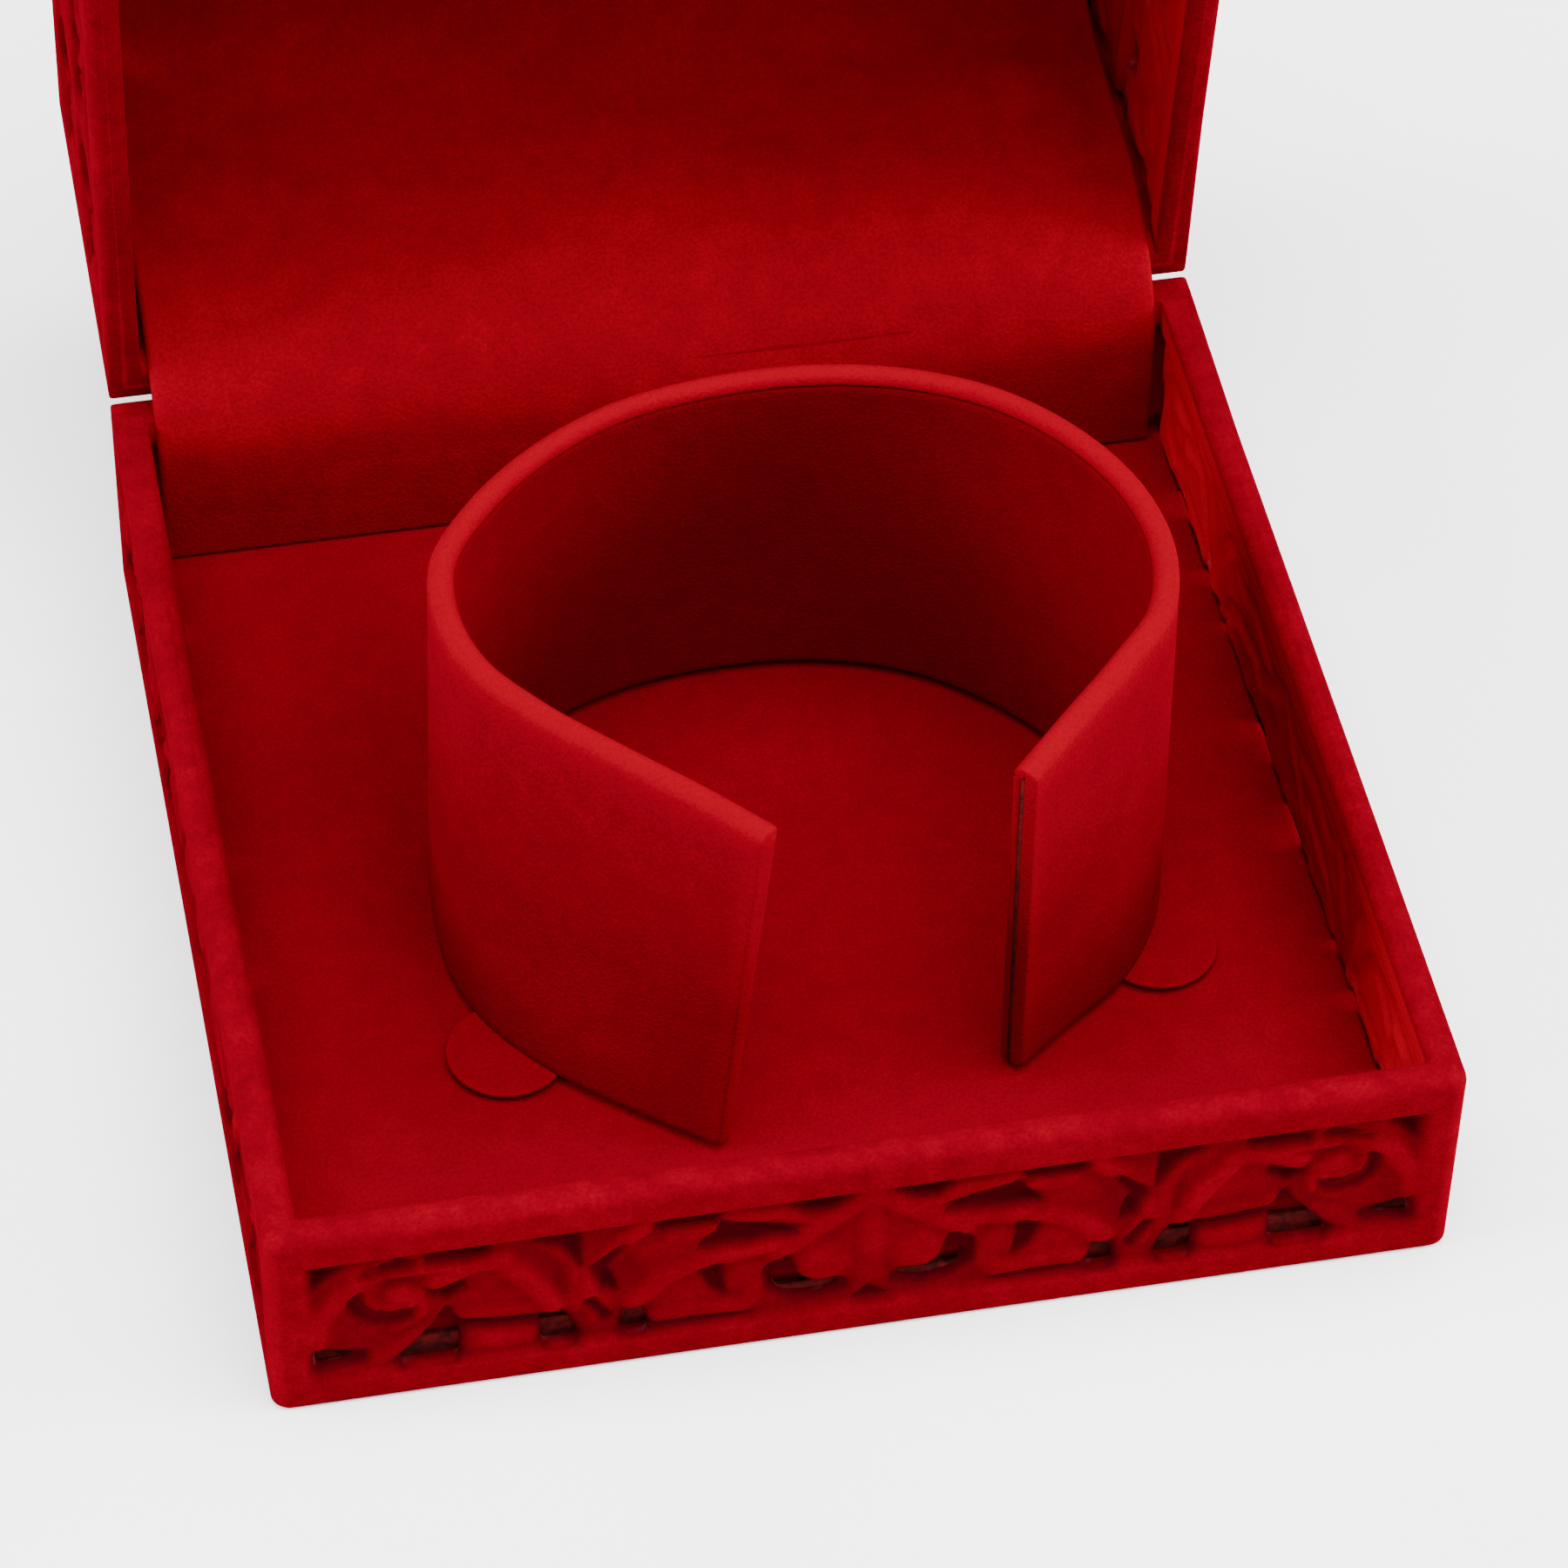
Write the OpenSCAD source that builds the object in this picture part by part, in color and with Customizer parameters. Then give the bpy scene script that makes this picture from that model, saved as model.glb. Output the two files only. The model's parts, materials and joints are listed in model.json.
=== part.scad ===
// Square flocked bangle box: an openwork tray, an openwork lid on two pinned hinges,
// a velvet floor pad, a lining sheet over the hinge side, and a C-shaped velvet collar.
// Origin: centre of the tray's underside. +X right, +Y towards the hinges, +Z up.
// The lid stands open at rest, and every lid piece is drawn closed and then swung open.

/* [Box] */
// Width of the box, left to right
body_w = 92; // [80:1:120]
// Depth of the box, front to hinges
body_d = 92; // [80:1:120]
// Height of the tray
base_h = 19.7; // [17:0.1:26]
// Height of the lid
lid_h = 34.5; // [30:0.5:45]
// Gap between the tray's rim and the lid's rim when the box is closed
lid_gap = 0.3; // [0.2:0.1:0.6]
// Angle that the lid swings from closed to its open stop
open_angle = 83; // [70:1:90]

/* [Walls] */
// Thickness of the rims and corner posts
rim_t = 2.8; // [2.4:0.1:3.6]
// Height of the rail along the mating rim
rim_rail_h = 3.3; // [2.6:0.1:4]
// Height of the rail along the outer edge
edge_rail_h = 2.6; // [2.4:0.1:3.4]
// Depth from a wall's outside to the inside of its fretwork
panel_in = 1.6; // [1.4:0.1:2]
// Depth that the fretwork sits back from the wall's outside
panel_out = 0.4; // [0.2:0.1:0.6]
// Height of the rail between the two bands of the lid's fretwork
mid_rail_h = 1.4; // [1:0.1:2]
// Thickness of the tray's floor
floor_t = 2; // [1.6:0.1:2.2]
// Thickness of the lid's roof
roof_t = 1.6; // [1.4:0.1:2]

/* [Hinges] */
// Radius of each hinge knuckle
knuckle_r = 1.4; // [1.3:0.1:1.6]
// Radius of each steel hinge pin
pin_r = 0.6; // [0.5:0.05:0.7]
// Running clearance round the pin in the lid's knuckle
pin_clearance = 0.05; // [0.02:0.01:0.08]
// Length of one tray knuckle
knuckle_l = 4; // [3:0.5:6]
// Length of the lid knuckle between two tray knuckles
lid_knuckle_l = 8; // [6:0.5:12]
// Distance of each hinge's middle from the box's middle
hinge_x = 28; // [24:1:30]
// Free space between a knuckle and the parts that pass it
knuckle_gap = 0.3; // [0.2:0.1:0.5]
// Free space between a knuckle's end and the wall beside it
knuckle_side_gap = 0.2; // [0.1:0.05:0.25]

/* [Linings] */
// Thickness of the card under the floor's velvet
floor_card_t = 1.5; // [1:0.1:1.8]
// Thickness of the foam-backed velvet on the floor
floor_velvet_t = 1.3; // [1:0.1:1.6]
// Thickness of the card under the roof
ceiling_card_t = 1.2; // [0.8:0.1:1.6]
// Thickness of the velvet on the roof card
ceiling_velvet_t = 0.8; // [0.6:0.1:1.2]
// Free space round the floor and roof cards
card_gap = 0.3; // [0.2:0.1:0.6]
// Thickness of the lining sheet
sheet_t = 1; // [0.8:0.1:1.2]
// Free space between the lining sheet and the rims beside and behind it
sheet_gap = 0.6; // [0.4:0.1:1]
// Distance from the lid's hinge wall to the lining sheet that stands off it
sheet_lift = 2.8; // [2.2:0.1:5]
// Length of sheet left free on each side of the hinge to bend
sheet_bend = 2.6; // [2:0.1:4]

/* [Collar] */
// Width of the collar, outside
collar_w = 58; // [50:1:62]
// Depth of the collar's back behind its widest place, outside
collar_back_d = 25.2; // [22:0.1:28]
// Radius of the collar's sides, outside
collar_side_r = 18.4; // [16:0.1:22]
// Thickness of the card core
core_t = 0.7; // [0.5:0.1:1]
// Thickness of each velvet facing
facing_t = 0.7; // [0.5:0.1:0.9]
// Height of the collar
collar_h = 34; // [28:0.5:36]
// Length of the collar's straight left wing
left_wing_l = 17.5; // [14:0.5:21]
// Length of the collar's straight right wing
right_wing_l = 16; // [14:0.5:21]
// Angle that each wing turns in towards the opening
wing_angle = 45; // [40:1:50]
// Turn of the whole collar about the vertical
collar_turn = 3; // [0:1:5]
// Distance that the collar stands right of the box's middle
collar_x = 2.8; // [0:0.2:3]
// Distance that the collar's widest place stands behind the box's middle
collar_y = -4.2; // [-5:0.2:0]
// Distance that the card stops short of the velvet at the collar's ends
core_inset = 0.6; // [0.4:0.1:1]
// Radius of the round tabs that the collar stands on
tab_r = 4.8; // [4:0.1:5.5]
// Thickness of each round tab
tab_t = 0.9; // [0.6:0.1:1.2]
// Place of each tab round the collar's side, down from its widest place
tab_angle = 38; // [30:1:45]
// Distance of each tab's middle outside the collar
tab_out = 1.9; // [0:0.1:2.5]

/* [Hidden] */
$fn = 48;

flock_red = "#b00f1c";
velvet_red = "#980812";
card_brown = "#5a1a18";
pin_steel = "#b8bcc0";

half_w = body_w / 2;
half_d = body_d / 2;
lid_z = base_h + lid_gap;
lid_wall_h = lid_h - roof_t;
hinge_y = half_d;
hinge_z = base_h + lid_gap / 2;
pin_reach = lid_knuckle_l / 2 + knuckle_gap + knuckle_l;
eps = 0.01;

// Places of the collar's arcs, measured from the middle of its widest place
side_cx = collar_w / 2 - collar_side_r;
collar_back_r = (pow(collar_back_d, 2) - pow(collar_side_r, 2) + side_cx * side_cx)
  / (2 * (collar_back_d - collar_side_r));
back_cy = collar_back_d - collar_back_r;
blend_angle = atan2(-back_cy, side_cx);
collar_t = core_t + 2 * facing_t;
pad_top_z = floor_t + floor_card_t + floor_velvet_t;
collar_z = pad_top_z + tab_t;

// Fretwork is drawn on a band of this width and height, then fitted to each wall
band_w = 86.4;
band_h = 14;

// Points along an arc
function arc(cx, cy, r, from, to, steps) =
  [for (i = [0 : steps]) let (a = from + (to - from) * i / steps) [cx + r * cos(a), cy + r * sin(a)]];

// A crescent between an outer arc and a flatter inner one, through the same two tips
function crescent(cx, cy, r, shift, from, to) = concat(
  arc(cx, cy, r, from, to, 10),
  arc(cx + shift * cos((from + to) / 2 + 180), cy + shift * sin((from + to) / 2 + 180), r * 0.86, to, from, 8));

// Openings in the left half of a band. Origin: the band's lower middle.
half_band = [
  // corner triangles and the sliver beside the post
  [[-43.2, 13.6], [-40.1, 13.6], [-41.6, 12.2], [-43.2, 10.7]],
  [[-43.2, 3.9], [-41.8, 2.8], [-38.8, 2.2], [-43.2, 1.8]],
  // slot under the large scroll's crest, and the crescent of its curl
  [[-34.2, 12.8], [-32.9, 13.4], [-30.2, 13.3], [-29.2, 12.9], [-31, 12.3], [-33.8, 12.4]],
  crescent(-36.9, 8.6, 2.9, 0.9, 170, 310),
  // notch beside the large leaf, and the tall opening below it
  [[-33.8, 8.9], [-32.4, 8.2], [-31, 9.4], [-32.4, 8.8]],
  [[-32.4, 6.3], [-31.5, 4.6], [-31.5, 0.8], [-36.3, 0.8], [-34.6, 3], [-33.4, 4.3]],
  // slit under the leaf, and the opening right of its tongue
  [[-31.5, 4.5], [-28, 3.9], [-24.7, 3.7], [-24.7, 3.4], [-28, 3.5], [-31.5, 4.1]],
  [[-25.3, 3.3], [-24.1, 4], [-23.2, 2.8], [-22.5, 1.4], [-22.5, 0.5], [-25.3, 0.5]],
  // triangle and slots along the top
  [[-25.7, 13.5], [-22.3, 13.5], [-22.3, 9.7], [-23.7, 12.1]],
  [[-16.8, 13.5], [-11.7, 13.5], [-11.9, 12.7], [-16.3, 12.8]],
  [[-11.5, 12.3], [-8.4, 10.9], [-5.7, 10.1], [-9.6, 9.5], [-13.1, 9.7], [-11.9, 10.6]],
  [[-6.2, 13.5], [-2, 13.5], [-2.7, 12.6], [-3.6, 12.1], [-5, 12.2]],
  // small leaf: slit, foot and the slot below it
  [[-13.1, 6.8], [-11.5, 7.3], [-11.5, 5.4], [-11.2, 3.7], [-12.4, 4.6]],
  [[-19.3, 0.7], [-18.6, 3], [-17.7, 2.6], [-17.1, 0.7]],
  [[-16.8, 0.9], [-9.9, 0.7], [-8.9, 0.3], [-16.8, 0.3]],
  // crescent round the middle cloud's lobe
  [[-6.6, 7], [-8.1, 5.4], [-7.9, 4], [-6.2, 2.5], [-3.9, 2.2], [-1.9, 2.7],
   [-2.7, 3.2], [-4.4, 3], [-5.6, 4.3], [-6, 6.1]],
];
// Opening under the middle of a band
middle_peak = [[-1.4, 0.3], [0, 1.6], [1.4, 0.3]];

// Openings of one band, fitted to width w and height h. Origin: lower middle.
module band_openings(w, h) {
  sx = w / band_w;
  sy = h / band_h;
  for (outline = half_band, side = [-1, 1])
    polygon([for (p = outline) [-side * p.x * sx, p.y * sy]]);
  polygon([for (p = middle_peak) [p.x * sx, p.y * sy]]);
}

// Frame of a wall seen from outside: rails, posts and fretwork with `bands` bands.
// Origin: the outside face's lower middle, with the mating rim at the top. -Y is outside.
module wall(length, h, post, bands) {
  open_w = length - 2 * post;
  open_h = h - rim_rail_h - edge_rail_h;
  one_h = (open_h - (bands - 1) * mid_rail_h) / bands;
  // mating rail, full rim thickness
  translate([-length / 2, 0, h - rim_rail_h]) cube([length, rim_t, rim_rail_h]);
  // outer rail
  translate([-length / 2, 0, 0]) cube([length, panel_in, edge_rail_h]);
  // posts, as thick as the rim where the wall has them
  if (post > panel_in)
    for (side = [-1, 1])
      translate([side * (length / 2 - post / 2) - post / 2, 0, 0]) cube([post, rim_t, h]);
  // rails between bands
  if (bands > 1)
    for (i = [1 : bands - 1])
      translate([-open_w / 2, 0, edge_rail_h + i * one_h + (i - 1) * mid_rail_h])
        cube([open_w, panel_in, mid_rail_h]);
  // fretwork
  translate([0, panel_in, 0]) rotate([90, 0, 0])
    linear_extrude(panel_in - panel_out) difference() {
      translate([-length / 2, 0]) square([length, h - rim_rail_h / 2]);
      for (i = [0 : bands - 1])
        translate([0, edge_rail_h + i * (one_h + mid_rail_h)]) band_openings(open_w, one_h);
    }
}

// A wall on the front (0), right (90), back (180) or left (270) of the box
module place_wall(angle) {
  out = angle % 180 == 0 ? half_d : half_w;
  rotate(angle) translate([0, -out, 0]) children();
}

// Swings a closed lid piece about the hinge axis to its open stop
module swing_open() {
  translate([0, hinge_y, hinge_z]) rotate([-open_angle, 0, 0])
    translate([0, -hinge_y, -hinge_z]) children();
}

// Lid walls are tray walls turned over: their mating rim faces down
module lid_turned_over() {
  translate([0, 0, lid_z + lid_wall_h]) mirror([0, 0, 1]) children();
}

// A cylinder along the hinge axis from x0 to x1
module axis_rod(x0, x1, r) {
  translate([x0, hinge_y, hinge_z]) rotate([0, 90, 0]) cylinder(h = x1 - x0, r = r);
}

// Tray and lid knuckles at one hinge, or the free space round them
module tray_knuckles(x, around = 0, beside = 0) {
  near = lid_knuckle_l / 2 + knuckle_gap;
  for (from = [x + near, x - near - knuckle_l])
    axis_rod(from - beside, from + knuckle_l + beside, knuckle_r + around);
}
module lid_knuckle(x, around = 0, beside = 0) {
  axis_rod(x - lid_knuckle_l / 2 - beside, x + lid_knuckle_l / 2 + beside, knuckle_r + around);
}

// Flat plate inside the walls, notched round the corner posts
module inner_plate(z, t, gap) {
  w = body_w - 2 * panel_in - 2 * gap;
  d = body_d - 2 * panel_in - 2 * gap;
  translate([0, 0, z]) linear_extrude(t) difference() {
    square([w, d], center = true);
    for (sx = [-1, 1], sy = [-1, 1])
      translate([sx * (half_w - rim_t / 2 + eps / 2), sy * (half_d - rim_t / 2 + eps / 2)])
        square(rim_t + 2 * gap + eps, center = true);
  }
}

module base_floor() {
  color(flock_red) inner_plate(0, floor_t, 0);
}

module base_front_wall() {
  color(flock_red) place_wall(0) wall(body_w, base_h, rim_t, 1);
}

module base_left_wall() {
  color(flock_red) place_wall(270) wall(body_d - 2 * rim_t, base_h, 0, 1);
}

module base_right_wall() {
  color(flock_red) place_wall(90) wall(body_d - 2 * rim_t, base_h, 0, 1);
}

module base_back_wall() {
  color(flock_red) difference() {
    union() {
      difference() {
        place_wall(180) wall(body_w, base_h, rim_t, 1);
        for (side = [-1, 1]) lid_knuckle(side * hinge_x, knuckle_gap, knuckle_side_gap);
      }
      for (side = [-1, 1]) tray_knuckles(side * hinge_x);
    }
    for (side = [-1, 1]) axis_rod(side * hinge_x - pin_reach, side * hinge_x + pin_reach, pin_r);
  }
}

module lid_front_wall() {
  color(flock_red) swing_open() lid_turned_over() place_wall(0) wall(body_w, lid_wall_h, rim_t, 2);
}

module lid_left_wall() {
  color(flock_red) swing_open() lid_turned_over() place_wall(270) wall(body_d - 2 * rim_t, lid_wall_h, 0, 2);
}

module lid_right_wall() {
  color(flock_red) swing_open() lid_turned_over() place_wall(90) wall(body_d - 2 * rim_t, lid_wall_h, 0, 2);
}

module lid_back_wall() {
  bore_reach = pin_reach + knuckle_side_gap;
  color(flock_red) swing_open() difference() {
    union() {
      difference() {
        lid_turned_over() place_wall(180) wall(body_w, lid_wall_h, rim_t, 2);
        for (side = [-1, 1]) tray_knuckles(side * hinge_x, knuckle_gap, knuckle_side_gap);
      }
      for (side = [-1, 1]) lid_knuckle(side * hinge_x);
    }
    for (side = [-1, 1])
      axis_rod(side * hinge_x - bore_reach, side * hinge_x + bore_reach, pin_r + pin_clearance);
  }
}

// Openwork roof: four mitred bands round a rosette of petals
module lid_roof() {
  inner = min(half_w, half_d) - rim_t - band_h - 2 * mid_rail_h;
  petal_r = inner * 0.13;
  color(flock_red) swing_open() translate([0, 0, lid_z + lid_wall_h])
    linear_extrude(roof_t) difference() {
      square([body_w, body_d], center = true);
      for (angle = [0 : 90 : 270]) {
        out = angle % 180 == 0 ? half_d : half_w;
        across = angle % 180 == 0 ? half_w : half_d;
        rotate(angle) intersection() {
          translate([0, -out + rim_t]) band_openings(2 * (across - rim_t), band_h);
          polygon([[-across + rim_t + 1.4, -out], [across - rim_t - 1.4, -out],
                   [across - rim_t - band_h - 1.4, -out + rim_t + band_h],
                   [-across + rim_t + band_h + 1.4, -out + rim_t + band_h]]);
        }
      }
      for (i = [0 : 7]) rotate(i * 45) {
        translate([inner * 0.42, 0]) circle(petal_r);
        rotate(22.5) translate([inner * 0.8, 0]) circle(petal_r * 0.8);
      }
      circle(petal_r * 0.9);
    }
}

// One hinge pin, as long as its three knuckles
module hinge_pin(x) {
  color(pin_steel) axis_rod(x - pin_reach, x + pin_reach, pin_r);
}
module hinge_pin_left() { hinge_pin(-hinge_x); }
module hinge_pin_right() { hinge_pin(hinge_x); }

module floor_card() {
  color(card_brown) inner_plate(floor_t, floor_card_t, card_gap);
}

module floor_velvet() {
  color(velvet_red) inner_plate(floor_t + floor_card_t, floor_velvet_t, card_gap);
}

module lid_ceiling_card() {
  color(card_brown) swing_open() inner_plate(lid_z + lid_wall_h - ceiling_card_t, ceiling_card_t, card_gap);
}

module lid_ceiling_velvet() {
  color(velvet_red) swing_open()
    inner_plate(lid_z + lid_wall_h - ceiling_card_t - ceiling_velvet_t, ceiling_velvet_t, card_gap);
}

// The lining sheet's flat stretch up the tray's hinge wall, then its stretch along the lid's
module lining_lower() {
  w = body_w - 2 * rim_t - 2 * sheet_gap;
  color(velvet_red) translate([-w / 2, half_d - rim_t - sheet_gap - sheet_t, pad_top_z])
    cube([w, sheet_t, base_h - sheet_bend - pad_top_z]);
}

module lining_upper() {
  w = body_w - 2 * rim_t - 2 * sheet_gap;
  top = lid_z + lid_wall_h - ceiling_card_t - ceiling_velvet_t;
  color(velvet_red) swing_open()
    translate([-w / 2, half_d - rim_t - sheet_lift - sheet_t, lid_z + sheet_bend])
      cube([w, sheet_t, top - lid_z - sheet_bend]);
}

// One side of the collar's plan at distance `in` inside its outside, from its back to its wing's tip
function collar_side(in, wing, side) = let (
    end_a = -wing_angle,
    tip = [side_cx + (collar_side_r - in) * cos(end_a), (collar_side_r - in) * sin(end_a)],
    run = [-cos(90 - wing_angle), -sin(90 - wing_angle)]
  ) [for (p = concat(
    arc(0, back_cy, collar_back_r - in, 90, blend_angle, 10),
    [for (i = [1 : 18]) let (a = blend_angle + (end_a - blend_angle) * i / 18)
      [side_cx + (collar_side_r - in) * cos(a), (collar_side_r - in) * sin(a)]],
    [tip + wing * run])) [side * p.x, p.y]];

function reversed(list) = [for (i = [len(list) - 1 : -1 : 0]) list[i]];

// Plan line of the whole collar, from the left wing's tip to the right wing's
function collar_line(in, shorten) = concat(
  reversed(collar_side(in, left_wing_l - shorten, -1)),
  [for (i = [1 : len(collar_side(in, right_wing_l, 1)) - 1]) collar_side(in, right_wing_l - shorten, 1)[i]]);

// Band of the collar between two depths, from height z0 to z1
module collar_band(outer, inner, z0, z1, shorten) {
  translate([collar_x, collar_y, z0]) rotate(collar_turn) linear_extrude(z1 - z0)
    polygon(concat(collar_line(outer, shorten), reversed(collar_line(inner, shorten))));
}

module collar_core() {
  color(card_brown) collar_band(facing_t, facing_t + core_t, collar_z, collar_z + collar_h - facing_t, core_inset);
}

module collar_inner_velvet() {
  color(velvet_red) collar_band(facing_t + core_t, collar_t, collar_z, collar_z + collar_h - facing_t, 0);
}

// The outer facing, folded over the top of the card and the inner facing
module collar_outer_velvet() {
  color(velvet_red) {
    collar_band(0, facing_t, collar_z, collar_z + collar_h, 0);
    collar_band(facing_t - eps, collar_t, collar_z + collar_h - facing_t, collar_z + collar_h, 0);
  }
}

// Round tab that reaches out from under the collar where its side turns into the wing
module collar_tab(side) {
  reach = collar_side_r + tab_out;
  color(velvet_red) translate([collar_x, collar_y, pad_top_z]) rotate(collar_turn)
    translate([side * (side_cx + reach * cos(tab_angle)), -reach * sin(tab_angle)])
      cylinder(h = tab_t, r = tab_r);
}
module collar_tab_left() { collar_tab(-1); }
module collar_tab_right() { collar_tab(1); }

base_floor();
base_front_wall();
base_back_wall();
base_left_wall();
base_right_wall();
lid_roof();
lid_front_wall();
lid_back_wall();
lid_left_wall();
lid_right_wall();
hinge_pin_left();
hinge_pin_right();
floor_card();
floor_velvet();
lid_ceiling_card();
lid_ceiling_velvet();
lining_lower();
lining_upper();
collar_core();
collar_inner_velvet();
collar_outer_velvet();
collar_tab_left();
collar_tab_right();
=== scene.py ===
"""Flocked bangle box: openwork tray and lid, velvet floor, lining sheet and C-shaped collar.

All lengths are metres in the CAD frame: X across the front, Y to the back, Z up.
The lid is worked out closed on the tray and then swung open about its hinge.
"""
import json

import bpy
import numpy as np
from mathutils import Matrix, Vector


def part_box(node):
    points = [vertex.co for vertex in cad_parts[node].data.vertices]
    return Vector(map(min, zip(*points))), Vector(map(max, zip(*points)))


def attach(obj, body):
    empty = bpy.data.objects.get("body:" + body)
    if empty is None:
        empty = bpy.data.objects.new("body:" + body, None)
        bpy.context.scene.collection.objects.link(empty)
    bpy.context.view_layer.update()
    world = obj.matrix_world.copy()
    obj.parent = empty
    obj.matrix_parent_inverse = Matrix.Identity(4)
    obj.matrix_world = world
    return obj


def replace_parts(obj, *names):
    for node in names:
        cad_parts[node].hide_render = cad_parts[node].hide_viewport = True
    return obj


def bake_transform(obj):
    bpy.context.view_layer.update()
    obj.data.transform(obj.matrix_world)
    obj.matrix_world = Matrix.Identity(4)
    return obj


bl_info = {
    "name": "Bangle Box Pieces",
    "version": (1, 0, 0),
    "blender": (4, 5, 0),
    "location": "View3D > Sidebar > Bangle Box",
    "description": "Builds the flocked walls, velvet pieces and finishes of a hinged bangle box",
    "category": "Add Mesh",
}

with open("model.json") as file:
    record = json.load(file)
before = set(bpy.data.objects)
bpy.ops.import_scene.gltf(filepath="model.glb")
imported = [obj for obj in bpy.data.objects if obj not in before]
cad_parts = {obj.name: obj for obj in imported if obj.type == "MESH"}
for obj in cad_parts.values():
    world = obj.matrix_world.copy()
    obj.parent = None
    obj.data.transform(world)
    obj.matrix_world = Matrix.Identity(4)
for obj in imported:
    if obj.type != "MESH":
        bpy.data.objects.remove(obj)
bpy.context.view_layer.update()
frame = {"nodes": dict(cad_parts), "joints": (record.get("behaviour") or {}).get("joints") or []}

MM = 0.001
TRAY_WALLS = ("base_front_wall", "base_right_wall", "base_back_wall", "base_left_wall")
LID_WALLS = ("lid_front_wall", "lid_right_wall", "lid_back_wall", "lid_left_wall")
HINGE = np.array(frame["joints"][0]["pos_m"], float)

# Hinge parts along the axis, in millimetres from each hinge's middle: knuckles, and the notches
# in a wall's rim that clear the other half's knuckles
TRAY_KNUCKLES, LID_KNUCKLES = ((-8.3, -4.3), (4.3, 8.3)), ((-4.0, 4.0),)
TRAY_NOTCHES, LID_NOTCHES = ((-4.2, 4.2),), ((-8.5, -4.1), (4.1, 8.5))
PIN_CLEARANCE = 0.05 * MM

# Rails round the bands of openwork: beside the rim, at the far edge, and between two bands
RIM_RAIL, TRAY_FAR_RAIL, LID_FAR_RAIL, MIDDLE_RAIL = 3.3 * MM, 2.6 * MM, 4.2 * MM, 1.4 * MM
# Rounding of the rims at the front and beside the hinge, and of the far edges
RIM_ROUND, HINGE_ROUND, TRAY_EDGE_ROUND, LID_EDGE_ROUND = 1.1 * MM, 0.2 * MM, 0.6 * MM, 1.0 * MM
# Openwork, in metres: depth of its ground, height of the relief, and what lips and pockets add
GROUND_DEPTH, RELIEF_HEIGHT, LIP_DEPTH = 0.95 * MM, 0.8 * MM, 0.3 * MM
WALL_POCKET, ROOF_POCKET = 0.85 * MM, 0.5 * MM
# Above the pad, and as far as LID_BACKED from the lid's rim, the walls are this much thicker
WALL_BACKING = 1.05 * MM
LID_BACKED = 30.2 * MM

# Openings cut through the openwork band, in millimetres from the band's lower middle.
# They are its left half; the right half mirrors them. Above OPEN_TO they are only pockets.
BAND_HEIGHT = 14.0
OPEN_TO = 3.7
OPENINGS = (
    ((-43.2, 3.9), (-41.8, 2.8), (-38.8, 2.2), (-43.2, 1.8)),
    ((-33.8, 8.9), (-32.4, 8.2), (-31, 9.4), (-32.4, 8.8)),
    ((-32.9, 4.7), (-31.5, 4.3), (-31.5, 0.8), (-36.3, 0.8), (-34.6, 3), (-33.4, 4.3)),
    ((-25.3, 3.3), (-24.1, 4), (-23.2, 2.8), (-22.5, 1.4), (-22.5, 0.5), (-25.3, 0.5)),
    ((-19.3, 0.9), (-18.8, 3.1), (-17.8, 3.2), (-16.9, 0.9)),
    ((-6.6, 7), (-8.1, 5.4), (-7.9, 4), (-6.2, 2.5), (-3.9, 2.2), (-1.9, 2.7), (-2.7, 3.2),
     (-4.4, 3), (-5.6, 4.3), (-6, 6.1)),
)
# Blind pockets of the band, which reach most of the way through it
POCKETS = (
    ((-32.4, 6.3), (-31.5, 4.6), (-31.5, 0.8), (-36.3, 0.8), (-34.6, 3), (-33.4, 4.3)),
    ((-13.1, 6.8), (-11.5, 7.3), (-11.5, 5.4), (-11.2, 3.7), (-12.4, 4.6)),
    ((-43.2, 13.6), (-40.1, 13.6), (-41.6, 12.2), (-43.2, 10.7)),
    ((-34.2, 12.8), (-32.9, 13.4), (-30.2, 13.3), (-29.2, 12.9), (-31, 12.3), (-33.8, 12.4)),
    ((-31.5, 4.5), (-28, 3.9), (-24.7, 3.7), (-24.7, 3.4), (-28, 3.5), (-31.5, 4.1)),
    ((-25.7, 13.5), (-22.3, 13.5), (-22.3, 9.7), (-23.7, 12.1)),
    ((-16.8, 13.5), (-11.7, 13.5), (-11.9, 12.7), (-16.3, 12.8)),
    ((-11.5, 12.3), (-8.4, 10.9), (-5.7, 10.1), (-9.6, 9.5), (-13.1, 9.7), (-11.9, 10.6)),
    ((-6.2, 13.5), (-2, 13.5), (-2.7, 12.6), (-3.6, 12.1), (-5, 12.2)),
    ((-16.8, 0.9), (-9.9, 0.7), (-8.9, 0.3), (-16.8, 0.3)),
    ((-1.4, 0.3), (0, 1.6), (1.4, 0.3)),
    ((-21.6, 8.8), (-20.6, 6.4), (-19.6, 6.0), (-20.4, 8.6), (-19.0, 11.0)),
    ((-38.9, 12.0), (-36.0, 12.9), (-34.6, 12.6), (-37.0, 12.0)),
    ((-20.6, 2.6), (-22.0, 5.2), (-21.4, 5.4), (-20.0, 3.0)),
)
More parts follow.
